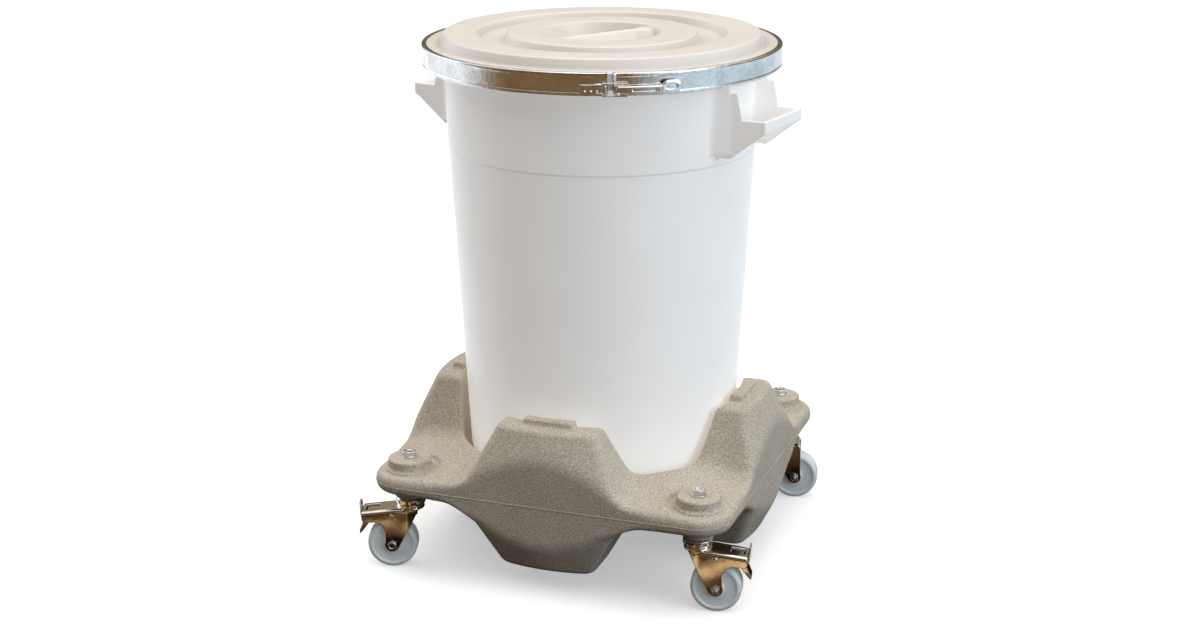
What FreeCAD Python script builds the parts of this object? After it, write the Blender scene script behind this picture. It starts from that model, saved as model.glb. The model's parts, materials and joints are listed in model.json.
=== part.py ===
"""Wash bucket: a lidded bucket held by a clamp ring, standing in a moulded dolly on four swivel castors.

Millimetres, +Z up, the front (the clamp's lock) towards -Y.
The origin is on the floor under the bucket's axis.
"""

import FreeCAD, Part
import math
import os
from types import SimpleNamespace

import Sketcher

DOC = FreeCAD.newDocument("WashBucket")
UP = FreeCAD.Vector(0, 0, 1)

DRIVING = {
    # bucket
    "bucket_base": 145,
    "bucket_bottom_radius": 215.6,
    "bucket_corner_radius": 22,
    "step_height": 665,
    "step_lower_radius": 243.1,
    "step_upper_radius": 244.6,
    "brim_root_radius": 249,
    "brim_radius": 276,
    "brim_top": 817,
    "brim_lip_bottom": 803,
    "bucket_wall": 3.5,
    # bucket handles
    "handle_angle": -10.9,
    "handle_half_length": 63.3,
    "handle_reach": 317,
    "handle_web": 4,
    "grip_thickness": 4.5,
    "grip_top": 740,
    "grip_bottom": 723.5,
    "web_bottom": 678,
    "web_foot_radius": 259.5,
    "web_shoulder_radius": 279.5,
    "web_neck_radius": 270,
    "web_neck_height": 779,
    "web_top_radius": 256.5,
    # lid
    "lid_rim_top": 826.3,
    "lid_rim_bottom": 822,
    "lid_radius": 281,
    "lid_skirt": 4,
    "lid_skirt_bottom": 801,
    "lid_crown": 842,
    "lid_wall": 3.5,
    "outer_ring_base_radius": 257,
    "outer_ring_radius": 249,
    "outer_ring_inner_radius": 196,
    "groove_outer_radius": 190,
    "groove_inner_radius": 155,
    "groove_height": 829,
    "inner_ring_radius": 149,
    "inner_ring_inner_radius": 93,
    "recess_radius": 89,
    "recess_height": 817,
    "bar_angle": 56,
    "bar_top": 838,
    "bar_half_width": 6,
    "bar_root_half_width": 14,
    "seal_inner_radius": 258,
    "seal_outer_radius": 268,
    "seal_gap": 0.05,
    # clamp ring and its lock
    "lock_angle": 22,
    "band_radius": 283,
    "band_wall": 1,
    "band_top": 827.5,
    "band_bottom": 793,
    "band_top_flange_radius": 275,
    "band_bottom_flange_radius": 277,
    "band_gap": 8,
    "hinge_gap": 1.2,
    "lock_height": 803.5,
    "lever_height": 11,
    "lever_sheet": 1.2,
    "lever_inner_radius": 285,
    "lever_outer_radius": 292.5,
    "lever_sweep": 20.5,
    "thumb_sweep": 5,
    "thumb_height": 18,
    "pivot_across": 10,
    "pivot_radius": 289,
    "pivot_pin_radius": 2,
    "link_across": 24,
    "link_radius": 287.3,
    "link_wire_radius": 1.2,
    "link_catch_across": -11.2,
    "pin_play": 0.05,
    "ear_sheet": 1.3,
    "lever_play": 0.1,
    "lever_root_radius": 4.2,
    "pin_head": 0.9,
    "pin_head_reach": 1.2,
    "link_clearance": 3.8,
    "catch_left": 44,
    "catch_right": 5,
    "catch_ear": 8.6,
    "weld_radius": 1.9,
    # dolly
    "dolly_half": 295,
    "dolly_corner_radius": 55,
    "dolly_skin": 5,
    "bolt_offset": 240.8,
    "foot_bottom": 33,
    "tower_top": 268,
    "tower_half_width": 80,
    "foot_half_width": 75,
    "flank_run": 0.51,
    "upper_arch_height": 226,
    "lower_arch_height": 75,
    "cone_rise": 2,
    "pad_height": 166,
    "underside_height": 130,
    "saddle_height": 188,
    "saddle_outer_radius": 330,
    "well_radius": 231,
    "foot_inner_radius": 208,
    "step_rise": 10,
    "step_half_width": 41,
    "step_radius": 252,
    "boss_radius": 34,
    "boss_height": 185,
    "spotface_radius": 49,
    "spotface_height": 168,
    "castor_boss_radius": 24.5,
    "castor_boss_root_radius": 31,
    "drain_radius": 20,
    "bolt_hole_radius": 6.5,
    # castors
    "castor_height": 120,
    "wheel_radius": 40,
    "wheel_half_width": 17,
    "wheel_hub_half_width": 19.3,
    "wheel_hub_radius": 11,
    "wheel_rim_ring": 8,
    "wheel_dish": 4,
    "trail": 30,
    "axle_radius": 4,
    "sleeve_radius": 6,
    "running_play": 0.08,
    "fork_inside": 19.6,
    "fork_sheet": 2.6,
    "crown_top": 102,
    "crown_radius": 21.5,
    "crown_lip": 2,
    "crown_lip_top": 107.3,
    "leg_end_radius": 11.5,
    "head_radius": 23.5,
    "head_chamfer": 4,
    "head_sleeve_radius": 9,
    "ball_radius": 3,
    "ball_ring_radius": 15,
    "ball_play": 0.05,
    "arm_bend": 24,
    "arm_reach": 78,
    "arm_end_top": 95.5,
    "arm_end_bottom": 79,
    "arm_slot_start": 51.5,
    "arm_slot_end": 73,
    "arm_slot_half_width": 11,
    "pedal_pin_across": 29,
    "pedal_pin_height": 90,
    "pedal_pin_radius": 3,
    "pedal_half_width": 14,
    "pedal_tab_top": 108.5,
    "pedal_toe_bottom": 53,
    "pedal_sheet": 2.6,
    "spring_width": 12,
    "spring_sheet": 0.8,
    "bolt_flats": 19,
    "bolt_head_height": 7.5,
    "axle_flats": 13,
    "axle_head_height": 5,
    "axle_nut_height": 6.5,
    "stud_radius": 6,
    "castor_nut_height": 10,
    "retainer_height": 2.5,
}


class Size:
    """A length or an angle: its number now, and the spreadsheet expression that drives it."""

    def __init__(self, number, text):
        self.number = float(number)
        self.text = text

    def __add__(self, other):
        other = as_size(other)
        return Size(self.number + other.number, f"({self.text} + {other.text})")

    def __sub__(self, other):
        other = as_size(other)
        return Size(self.number - other.number, f"({self.text} - {other.text})")

    def __mul__(self, other):
        other = as_size(other)
        return Size(self.number * other.number, f"({self.text} * {other.text})")

    def __truediv__(self, other):
        other = as_size(other)
        return Size(self.number / other.number, f"({self.text} / {other.text})")

    def __neg__(self):
        return Size(-self.number, f"(-1 * {self.text})")

    def __radd__(self, other):
        return as_size(other) + self

    def __rsub__(self, other):
        return as_size(other) - self

    def __rmul__(self, other):
        return as_size(other) * self


def as_size(value):
    """A plain number as a Size with a constant expression."""
    return value if isinstance(value, Size) else Size(value, repr(float(value)))


def driving_sheet():
    """The spreadsheet of driving dimensions, and a Size for each of its cells."""
    sheet = DOC.addObject("Spreadsheet::Sheet", "Sizes")
    sizes = {}
    for row, (alias, number) in enumerate(DRIVING.items(), start=1):
        sheet.set(f"A{row}", alias)
        sheet.set(f"B{row}", str(number))
        sheet.setAlias(f"B{row}", alias)
        sizes[alias] = Size(number, f"Sizes.{alias}")
    DOC.recompute()
    return SimpleNamespace(**sizes)


s = driving_sheet()
NODES = {}


# ---------------------------------------------------------------- modelling helpers


def bind(thing, prop, value):
    """Drive one property by the spreadsheet."""
    value = as_size(value)
    thing.setExpression(prop, value.text)


def node(label, thing):
    """Name an object after its node, so that it is written to its own file."""
    thing.Label = label
    NODES[label] = thing
    return thing


def new_body(label, turn=None, across=None, along=None):
    """A PartDesign body, turned about Z and moved across X and along Y."""
    body = DOC.addObject("PartDesign::Body", label)
    body.AllowCompound = True
    angle = as_size(turn or 0)
    body.Placement = FreeCAD.Placement(FreeCAD.Vector(), FreeCAD.Rotation(UP, angle.number or 0))
    if angle.number:
        bind(body, "Placement.Rotation.Angle", angle)
    if across is not None:
        bind(body, "Placement.Base.x", across)
        bind(body, "Placement.Base.y", along)
    return node(label, body)


def origin_feature(body, role):
    """One of the body's own origin planes or axes."""
    return next(item for item in body.Origin.OriginFeatures if item.Role == role)


def sketch_on(body, role, offset=0, across=0, along=0):
    """A sketch on an origin plane, moved along the plane's normal and within it."""
    sketch = body.newObject("Sketcher::SketchObject", f"{body.Name}_sketch")
    sketch.AttachmentSupport = [(origin_feature(body, role), "")]
    sketch.MapMode = "FlatFace"
    for letter, value in (("x", across), ("y", along), ("z", offset)):
        if as_size(value).number:
            bind(sketch, f".AttachmentOffset.Base.{letter}", value)
    return sketch


def fix_point(sketch, index, end, point):
    """Hold a sketch point at its place, driven by the spreadsheet."""
    for kind, value in zip(("DistanceX", "DistanceY"), point):
        value = as_size(value)
        number = sketch.addConstraint(Sketcher.Constraint(kind, -1, 1, index, end, value.number))
        sketch.setExpression(f"Constraints[{number}]", value.text)


def flat(point):
    return FreeCAD.Vector(as_size(point[0]).number, as_size(point[1]).number, 0)


def add_outline(sketch, points):
    """A closed outline of straight lines through the points."""
    first = sketch.GeometryCount
    count = len(points)
    for i, point in enumerate(points):
        sketch.addGeometry(Part.LineSegment(flat(point), flat(points[(i + 1) % count])), False)
    for i, point in enumerate(points):
        here, after = first + i, first + (i + 1) % count
        sketch.addConstraint(Sketcher.Constraint("Coincident", here, 2, after, 1))
        fix_point(sketch, here, 1, point)
    return sketch


def add_circle(sketch, centre, radius):
    """A circle of a driven radius about a driven centre."""
    radius = as_size(radius)
    circle = Part.Circle(flat(centre), UP, radius.number)
    index = sketch.addGeometry(circle, False)
    fix_point(sketch, index, 3, centre)
    number = sketch.addConstraint(Sketcher.Constraint("Radius", index, radius.number))
    sketch.setExpression(f"Constraints[{number}]", radius.text)
    return sketch


def add_rounded_square(sketch, half, corner):
    """A square about the origin whose corners are arcs."""
    half, corner = as_size(half), as_size(corner)
    inner = (half - corner).number
    first = sketch.GeometryCount
    for quarter in range(4):
        turn = FreeCAD.Rotation(UP, 90 * quarter)
        start = turn.multVec(FreeCAD.Vector(half.number, -inner, 0))
        stop = turn.multVec(FreeCAD.Vector(half.number, inner, 0))
        centre = turn.multVec(FreeCAD.Vector(inner, inner, 0))
        sketch.addGeometry(Part.LineSegment(start, stop), False)
        low = math.radians(90 * quarter)
        circle = Part.Circle(centre, UP, corner.number)
        sketch.addGeometry(Part.ArcOfCircle(circle, low, low + math.pi / 2), False)
    signs = ((1, 1), (-1, 1), (-1, -1), (1, -1))
    for quarter, (x_sign, y_sign) in enumerate(signs):
        line = first + 2 * quarter
        arc = line + 1
        after = first + (2 * quarter + 2) % 8
        sketch.addConstraint(Sketcher.Constraint("Tangent", line, 2, arc, 1))
        sketch.addConstraint(Sketcher.Constraint("Tangent", arc, 2, after, 1))
        fix_point(sketch, arc, 3, ((half - corner) * x_sign, (half - corner) * y_sign))
    number = sketch.addConstraint(Sketcher.Constraint("Radius", first + 1, corner.number))
    sketch.setExpression(f"Constraints[{number}]", corner.text)
    return sketch


def feature(body, kind, sketch):
    """A sketch-based feature at the body's tip."""
    made = body.newObject(f"PartDesign::{kind}", f"{body.Name}_{kind}")
    made.Profile = sketch
    return made


def check_change(body, before, grows):
    """Stop when a feature did not add or remove material."""
    DOC.recompute()
    after = body.Shape.Volume
    if (after > before + 1e-6) != grows or abs(after - before) < 1e-6:
        raise RuntimeError(f"{body.Label}: a feature changed the volume from {before} to {after}")


def volume(body):
    DOC.recompute()
    return body.Shape.Volume if body.Shape and not body.Shape.isNull() else 0.0


def pad(body, sketch, length, symmetric=False, downwards=False, taper=0):
    """Add the sketch's area over a length."""
    before = volume(body)
    made = feature(body, "Pad", sketch)
    bind(made, "Length", length)
    made.SideType = "Symmetric" if symmetric else "One side"
    made.Reversed = downwards
    if taper:
        bind(made, "TaperAngle", taper)
    check_change(body, before, grows=True)
    return made


def pocket(body, sketch, length, symmetric=False, upwards=False, taper=0):
    """Remove the sketch's area over a length."""
    before = volume(body)
    made = feature(body, "Pocket", sketch)
    bind(made, "Length", length)
    made.SideType = "Symmetric" if symmetric else "One side"
    made.Reversed = upwards
    if taper:
        bind(made, "TaperAngle", taper)
    check_change(body, before, grows=False)
    return made


def spin(body, sketch, sweep=360, axis="V_Axis", cut=False, backwards=False):
    """Turn the sketch about one of its own axes, to add or to remove."""
    before = volume(body)
    made = feature(body, "Groove" if cut else "Revolution", sketch)
    made.ReferenceAxis = (sketch, [axis])
    bind(made, "Angle", sweep)
    made.Reversed = backwards
    check_change(body, before, grows=not cut)
    return made


def around_z(body, features, count):
    """Repeat features evenly about the body's Z axis."""
    before = volume(body)
    pattern = body.newObject("PartDesign::PolarPattern", f"{body.Name}_pattern")
    pattern.Originals = features
    pattern.Axis = (origin_feature(body, "Z_Axis"), [""])
    pattern.Angle = 360
    pattern.Occurrences = count
    body.Tip = pattern
    DOC.recompute()
    if abs(body.Shape.Volume - before) < 1e-6:
        raise RuntimeError(f"{body.Label}: the pattern changed nothing")
    return pattern


def round_edges(body, picked, radius):
    """Fillet the edges of the tip that the picked() test accepts."""
    DOC.recompute()
    names = [f"Edge{i}" for i, edge in enumerate(body.Shape.Edges, start=1) if picked(edge)]
    if not names:
        raise RuntimeError(f"{body.Label}: no edge to round")
    base = body.Tip
    before = volume(body)
    made = body.newObject("PartDesign::Fillet", f"{body.Name}_Fillet")
    made.Base = (base, names)
    bind(made, "Radius", radius)
    DOC.recompute()
    if abs(body.Shape.Volume - before) < 1e-6:
        raise RuntimeError(f"{body.Label}: the fillet changed nothing")
    return made


def is_ring(edge, *places):
    """True for a circular edge about Z at one of the (radius, height) places."""
    if not isinstance(edge.Curve, Part.Circle) or abs(edge.Curve.Axis.z) < 0.99:
        return False
    at = (edge.Curve.Radius, edge.Curve.Center.z)
    tolerance = 0.05
    for radius, height in places:
        wanted = (as_size(radius).number, as_size(height).number)
        if abs(at[0] - wanted[0]) < tolerance and abs(at[1] - wanted[1]) < tolerance:
            return True
    return False


# ---------------------------------------------------------------- bucket and lid


def bucket():
    """The tapered bucket with its brim and its two moulded handles, in one piece."""
    body = new_body("bucket", turn=s.handle_angle)
    wall = s.bucket_wall
    outer = [
        (0, s.bucket_base),
        (s.bucket_bottom_radius, s.bucket_base),
        (s.step_lower_radius, s.step_height - 2),
        (s.step_upper_radius, s.step_height + 2),
        (s.brim_root_radius, s.brim_top - wall),
        (s.brim_radius - wall, s.brim_top - wall),
        (s.brim_radius - wall, s.brim_lip_bottom),
        (s.brim_radius, s.brim_lip_bottom),
        (s.brim_radius, s.brim_top),
        (0, s.brim_top),
    ]
    spin(body, add_outline(sketch_on(body, "XZ_Plane"), outer))
    round_edges(body, lambda e: is_ring(e, (s.bucket_bottom_radius, s.bucket_base)), s.bucket_corner_radius)
    round_edges(body, lambda e: is_ring(e, (s.brim_radius, s.brim_top)), 2)

    inside = s.bucket_bottom_radius - 20
    web = [
        (inside, s.web_bottom),
        (s.web_foot_radius, s.web_bottom),
        (s.handle_reach, s.grip_bottom),
        (s.handle_reach, s.grip_top),
        (s.web_shoulder_radius, s.grip_top),
        (s.web_neck_radius, s.web_neck_height),
        (s.web_top_radius, s.web_neck_height),
        (s.web_top_radius, s.brim_top - wall / 2),
        (inside, s.brim_top - wall / 2),
    ]
    handle = []
    for near_face in (-s.handle_half_length, s.handle_half_length - s.handle_web):
        offset = -(near_face + s.handle_web)
        sketch = add_outline(sketch_on(body, "XZ_Plane", offset=offset), web)
        handle.append(pad(body, sketch, s.handle_web))
    grip = [
        (s.handle_reach - s.grip_thickness, s.grip_bottom - 4),
        (s.handle_reach, s.grip_bottom),
        (s.handle_reach, s.grip_top),
        (s.handle_reach - s.grip_thickness, s.grip_top),
    ]
    sketch = add_outline(sketch_on(body, "XZ_Plane"), grip)
    handle.append(pad(body, sketch, s.handle_half_length * 2, symmetric=True))
    around_z(body, handle, 2)

    inner = [
        (0, s.bucket_base + wall),
        (s.bucket_bottom_radius - s.bucket_corner_radius, s.bucket_base + wall),
        (s.bucket_bottom_radius - wall, s.bucket_base + s.bucket_corner_radius),
        (s.step_lower_radius - wall, s.step_height - 2),
        (s.step_upper_radius - wall, s.step_height + 2),
        (s.brim_root_radius - wall, s.brim_top - wall),
        (s.brim_root_radius - wall + 1, s.brim_top + 1),
        (0, s.brim_top + 1),
    ]
    spin(body, add_outline(sketch_on(body, "XZ_Plane"), inner), cut=True)


def lid():
    """The lid: a skirted rim, two raised rings and a central recess crossed by a grip bar."""
    body = new_body("lid", turn=s.bar_angle)
    wall = s.lid_wall
    outline = [
        (0, s.recess_height),
        (s.recess_radius, s.recess_height),
        (s.inner_ring_inner_radius, s.lid_crown),
        (s.inner_ring_radius, s.lid_crown),
        (s.groove_inner_radius, s.groove_height),
        (s.groove_outer_radius, s.groove_height),
        (s.outer_ring_inner_radius, s.lid_crown),
        (s.outer_ring_radius, s.lid_crown),
        (s.outer_ring_base_radius, s.lid_rim_top),
        (s.lid_radius, s.lid_rim_top),
        (s.lid_radius, s.lid_skirt_bottom),
        (s.lid_radius - s.lid_skirt, s.lid_skirt_bottom),
        (s.lid_radius - s.lid_skirt, s.lid_rim_bottom),
        (s.outer_ring_base_radius - 3, s.lid_rim_bottom),
        (s.outer_ring_radius - 3, s.lid_crown - wall),
        (s.outer_ring_inner_radius + 3, s.lid_crown - wall),
        (s.groove_outer_radius + 3, s.groove_height - wall),
        (s.groove_inner_radius - 3, s.groove_height - wall),
        (s.inner_ring_radius - 3, s.lid_crown - wall),
        (s.inner_ring_inner_radius + 3, s.lid_crown - wall),
        (s.recess_radius + 3, s.recess_height - wall),
        (0, s.recess_height - wall),
    ]
    spin(body, add_outline(sketch_on(body, "XZ_Plane"), outline))
    soft_rings = (
        (s.inner_ring_inner_radius, s.lid_crown),
        (s.inner_ring_radius, s.lid_crown),
        (s.outer_ring_inner_radius, s.lid_crown),
        (s.outer_ring_radius, s.lid_crown),
        (s.groove_inner_radius, s.groove_height),
        (s.groove_outer_radius, s.groove_height),
    )
    round_edges(body, lambda e: is_ring(e, *soft_rings), 2.5)
    half = s.inner_ring_inner_radius - 1
    root, top = s.bar_root_half_width, s.bar_half_width
    cross_section = [
        (-root, s.recess_height - wall / 2),
        (root, s.recess_height - wall / 2),
        (top, s.bar_top),
        (-top, s.bar_top),
    ]
    sketch = add_outline(sketch_on(body, "YZ_Plane"), cross_section)
    pad(body, sketch, half * 2, symmetric=True)


def lid_seal():
    """The flat rubber ring between the lid's rim and the bucket's brim."""
    body = new_body("lid_seal")
    low, high = s.brim_top + s.seal_gap, s.lid_rim_bottom - s.seal_gap
    outline = [
        (s.seal_inner_radius, low),
        (s.seal_outer_radius, low),
        (s.seal_outer_radius, high),
        (s.seal_inner_radius, high),
    ]
    spin(body, add_outline(sketch_on(body, "XZ_Plane"), outline))


# ---------------------------------------------------------------- clamp ring and lock


def degrees_along(across, radius):
    """The angle in degrees that a distance along the ring covers at a radius."""
    return across / radius * (180 / math.pi)


def ring_sector(body, outline, start, sweep):
    """Turn an outline about Z, from an angle past the lock's middle towards the right."""
    sketch = add_outline(sketch_on(body, "YZ_Plane"), [(-1 * radius, height) for radius, height in outline])
    start = as_size(start)
    sketch.AttachmentOffset = FreeCAD.Placement(
        FreeCAD.Vector(), FreeCAD.Rotation(FreeCAD.Vector(0, 1, 0), start.number)
    )
    bind(sketch, ".AttachmentOffset.Rotation.Angle", start)
    return spin(body, sketch, sweep=sweep)


def upright_pin(body, across, radius, low, high, pin_radius):
    """A cylinder parallel to Z at a place on the lock."""
    sketch = add_circle(sketch_on(body, "XY_Plane", offset=low), (across, -1 * radius), pin_radius)
    return pad(body, sketch, high - low)


def bore(body, across, radius, low, high, bore_radius):
    """A hole parallel to Z at a place on the lock."""
    sketch = add_circle(sketch_on(body, "XY_Plane", offset=high), (across, -1 * radius), bore_radius)
    return pocket(body, sketch, high - low)


def band_outline():
    """The clamp ring's section: a wall with a flange over the lid and one under the brim."""
    wall = s.band_wall
    return [
        (s.band_top_flange_radius, s.band_top - wall),
        (s.band_radius - wall, s.band_top - wall),
        (s.band_radius - wall, s.band_bottom + wall),
        (s.band_bottom_flange_radius, s.band_bottom + wall),
        (s.band_bottom_flange_radius, s.band_bottom),
        (s.band_radius, s.band_bottom),
        (s.band_radius, s.band_top),
        (s.band_top_flange_radius, s.band_top),
    ]


def band_half(label, to_the_right):
    """Half of the clamp ring, from the gap at the lock round to the back."""
    body = new_body(label, turn=s.lock_angle)
    lock_end = degrees_along(s.band_gap / 2, s.band_radius)
    rear_end = degrees_along(s.hinge_gap / 2, s.band_radius)
    sweep = 180 - lock_end - rear_end
    start = lock_end if to_the_right else 180 + rear_end
    ring_sector(body, band_outline(), start, sweep)


def lever_bracket():
    """The bracket on the ring's right end: a curved plate with two ears for the pivot pin."""
    body = new_body("lever_bracket", turn=s.lock_angle)
    low, high = lever_levels()
    ear = s.ear_sheet
    plate = [
        (s.band_radius, low - ear),
        (s.band_radius + ear, low - ear),
        (s.band_radius + ear, high + ear),
        (s.band_radius, high + ear),
    ]
    start = degrees_along(s.band_gap / 2, s.band_radius) + 0.2
    ring_sector(body, plate, start, 3.2)
    for bottom in (low - ear, high):
        outline = [
            (s.band_radius + ear / 2, bottom),
            (s.lever_outer_radius + 1, bottom),
            (s.lever_outer_radius + 1, bottom + ear),
            (s.band_radius + ear / 2, bottom + ear),
        ]
        ring_sector(body, outline, start, 2.4)
    bore(body, s.pivot_across, s.pivot_radius, low - 5, high + 5, s.pivot_pin_radius + s.pin_play)


def lever_levels():
    """The heights of the inner faces of the lever bracket's ears."""
    half = s.lever_height / 2 + s.lever_play
    return s.lock_height - half, s.lock_height + half


def lever_pin():
    """The riveted pin that the lever turns on, with a head beyond each ear."""
    body = new_body("lever_pin", turn=s.lock_angle)
    low, high = lever_levels()
    clear = s.ear_sheet + s.pin_play
    head = s.pin_head
    upright_pin(body, s.pivot_across, s.pivot_radius, low - clear, high + clear, s.pivot_pin_radius)
    for bottom in (low - clear - head, high + clear):
        head_radius = s.pivot_pin_radius + s.pin_head_reach
        upright_pin(body, s.pivot_across, s.pivot_radius, bottom, bottom + head, head_radius)


def clamp_lever():
    """The over-centre lever: a channel that follows the ring, ending in a thumb tab."""
    body = new_body("clamp_lever", turn=s.lock_angle)
    low = s.lock_height - s.lever_height / 2
    high = s.lock_height + s.lever_height / 2
    sheet = s.lever_sheet
    channel = [
        (s.lever_inner_radius, low),
        (s.lever_outer_radius, low),
        (s.lever_outer_radius, high),
        (s.lever_inner_radius, high),
        (s.lever_inner_radius, high - sheet),
        (s.lever_outer_radius - sheet, high - sheet),
        (s.lever_outer_radius - sheet, low + sheet),
        (s.lever_inner_radius, low + sheet),
    ]
    start = degrees_along(s.pivot_across, s.pivot_radius)
    ring_sector(body, channel, start, s.lever_sweep - start)
    for bottom in (low, high - sheet):
        upright_pin(body, s.pivot_across, s.pivot_radius, bottom, bottom + sheet, s.lever_root_radius)
    thumb = [
        (s.lever_inner_radius + 3, low),
        (s.lever_outer_radius, low),
        (s.lever_outer_radius, low + s.thumb_height),
        (s.lever_inner_radius + 3, low + s.thumb_height),
    ]
    ring_sector(body, thumb, s.lever_sweep - s.thumb_sweep, s.thumb_sweep)
    round_edges(body, is_thumb_corner, 6)
    bore(body, s.pivot_across, s.pivot_radius, low - 1, high + 1, s.pivot_pin_radius + s.pin_play)
    bore(body, s.link_across, s.link_radius, low - 1, high + 1, s.link_wire_radius + s.pin_play)


def is_thumb_corner(edge):
    """True for the radial edges at the thumb tab's upper corners."""
    if not isinstance(edge.Curve, Part.Line) or abs(edge.Curve.Direction.z) > 0.01:
        return False
    top = (s.lock_height - s.lever_height / 2 + s.thumb_height).number
    return all(abs(vertex.Z - top) < 0.01 for vertex in edge.Vertexes)


def wire_levels():
    """The heights of the link's two long legs, above and below the bracket's ears."""
    reach = s.lever_height / 2 + s.link_clearance
    return s.lock_height - reach, s.lock_height + reach


def clamp_link():
    """The wire link: a closed loop through the lever and behind the catch's ear."""
    body = new_body("clamp_link", turn=s.lock_angle)
    low, high = wire_levels()
    for across in (s.link_across, s.link_catch_across):
        upright_pin(body, across, s.link_radius, low, high, s.link_wire_radius)
    for level in (low, high):
        sketch = sketch_on(body, "YZ_Plane", offset=s.link_catch_across)
        add_circle(sketch, (-1 * s.link_radius, level), s.link_wire_radius)
        pad(body, sketch, s.link_across - s.link_catch_across)


def catch_bracket():
    """The catch on the ring's left end: a welded plate, its rolled edge and an upright ear."""
    body = new_body("catch_bracket", turn=s.lock_angle)
    low, high = wire_levels()
    low, high = low + 2.2, high - 2.2
    sheet = s.ear_sheet
    start = degrees_along(-s.catch_left, s.band_radius)
    sweep = degrees_along(s.catch_left - s.catch_right, s.band_radius)
    plate = [
        (s.band_radius, low),
        (s.band_radius + sheet, low),
        (s.band_radius + sheet, high),
        (s.band_radius, high),
    ]
    ring_sector(body, plate, start, sweep)
    ear_foot, ear_shoulder, ear_reach = s.band_radius + sheet / 2, s.link_radius + 2.2, s.link_radius + 4.2
    ear = [
        (ear_foot, low),
        (ear_shoulder, low),
        (ear_reach, low + 3),
        (ear_reach, high - 3),
        (ear_shoulder, high),
        (ear_foot, high),
    ]
    ear_thickness = 0.5
    ring_sector(body, ear, degrees_along(-s.catch_ear, s.link_radius), ear_thickness)
    roll_depth = sheet * 2
    roll = [
        (ear_foot, high - 3),
        (s.band_radius + roll_depth, high - 3),
        (s.band_radius + roll_depth, high),
        (ear_foot, high),
    ]
    ring_sector(body, roll, start, sweep * 0.55)
    weld_height = s.lock_height - 3
    for across in (-38, -29, -20):
        sagitta = as_size(across * across / 2) / s.band_radius
        sketch = sketch_on(body, "XZ_Plane", offset=s.band_radius - sagitta)
        pad(body, add_circle(sketch, (across, weld_height), s.weld_radius), sheet * 2)
    inside_ring = add_circle(sketch_on(body, "XY_Plane", offset=high + 1), (0, 0), s.band_radius)
    pocket(body, inside_ring, high - low + 2)


# ---------------------------------------------------------------- dolly


def four_ways(across, along):
    """A place and its three copies turned about Z by quarter turns."""
    return ((across, along), (-1 * along, across), (-1 * across, -1 * along), (along, -1 * across))


def corner_square(sketch, start, size):
    """A square in each corner, from a distance off both axes outwards."""
    for x_sign, y_sign in ((1, 1), (-1, 1), (-1, -1), (1, -1)):
        near_x, near_y = start * x_sign, start * y_sign
        far_x, far_y = (start + size) * x_sign, (start + size) * y_sign
        add_outline(sketch, [(near_x, near_y), (far_x, near_y), (far_x, far_y), (near_x, far_y)])
    return sketch


def dolly_form(name, skin):
    """The dolly's form, drawn in by a skin thickness all round.

    A rounded square, cut by two cones about Z that leave an arch on each side, and by
    four sloped corner pockets above and below that leave the towers and the feet.
    """
    body = DOC.addObject("PartDesign::Body", name)
    body.AllowCompound = True
    skin = as_size(skin)
    slant = math.hypot(1, DRIVING["flank_run"])
    cone_skin = skin * (math.hypot(1, DRIVING["cone_rise"]) / DRIVING["cone_rise"])
    low, high = s.foot_bottom + skin, s.tower_top - skin
    half, corner = s.dolly_half - skin, s.dolly_corner_radius - skin
    pad_top, underside = s.pad_height - skin, s.underside_height + skin
    far = 500

    base = sketch_on(body, "XY_Plane", offset=low)
    pad(body, add_rounded_square(base, half, corner), high - low)

    def upper_cone(height):
        return s.dolly_half - cone_skin + (s.upper_arch_height - height) / s.cone_rise

    def lower_cone(height):
        return s.dolly_half - cone_skin + (height - s.lower_arch_height) / s.cone_rise

    over, under = high + 1, low - 1
    above = [(upper_cone(pad_top), pad_top), (far, pad_top), (far, over), (upper_cone(over), over)]
    below = [(lower_cone(underside), underside), (lower_cone(under), under), (far, under), (far, underside)]
    inner_foot = s.foot_inner_radius + skin
    centre = [(0, under), (inner_foot, under), (inner_foot - 45, underside), (0, underside)]
    for outline in (above, below, centre):
        spin(body, add_outline(sketch_on(body, "XZ_Plane"), outline), cut=True)

    taper = -math.degrees(math.atan(DRIVING["flank_run"]))
    tower_half = s.tower_half_width - skin * slant + s.flank_run * skin
    foot_half = s.foot_half_width - skin * slant + s.flank_run * skin
    upper = corner_square(sketch_on(body, "XY_Plane", offset=high), tower_half, far)
    pocket(body, upper, high - pad_top, taper=taper)
    lower = corner_square(sketch_on(body, "XY_Plane", offset=low), foot_half, far)
    pocket(body, lower, underside - low, upwards=True, taper=taper)

    saddle = [
        (s.well_radius - 10, pad_top - 5),
        (s.saddle_outer_radius, pad_top - 5),
        (s.saddle_outer_radius, pad_top),
        (s.well_radius, s.saddle_height - skin),
        (s.well_radius - 10, s.saddle_height - skin),
    ]
    spin(body, add_outline(sketch_on(body, "XZ_Plane"), saddle))
    frame = sketch_on(body, "XY_Plane", offset=high)
    add_outline(frame, [(-far, -far), (far, -far), (far, far), (-far, far)])
    add_rounded_square(frame, half, corner)
    pocket(body, frame, high - low)

    spotfaces = sketch_on(body, "XY_Plane", offset=high)
    for place in four_ways(s.bolt_offset, s.bolt_offset):
        add_circle(spotfaces, place, s.spotface_radius + skin)
    pocket(body, spotfaces, high - s.spotface_height + skin)
    well = add_circle(sketch_on(body, "XY_Plane", offset=high), (0, 0), s.well_radius + skin)
    floor = s.bucket_base if not skin.number else low
    pocket(body, well, high - floor)
    return body


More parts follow.
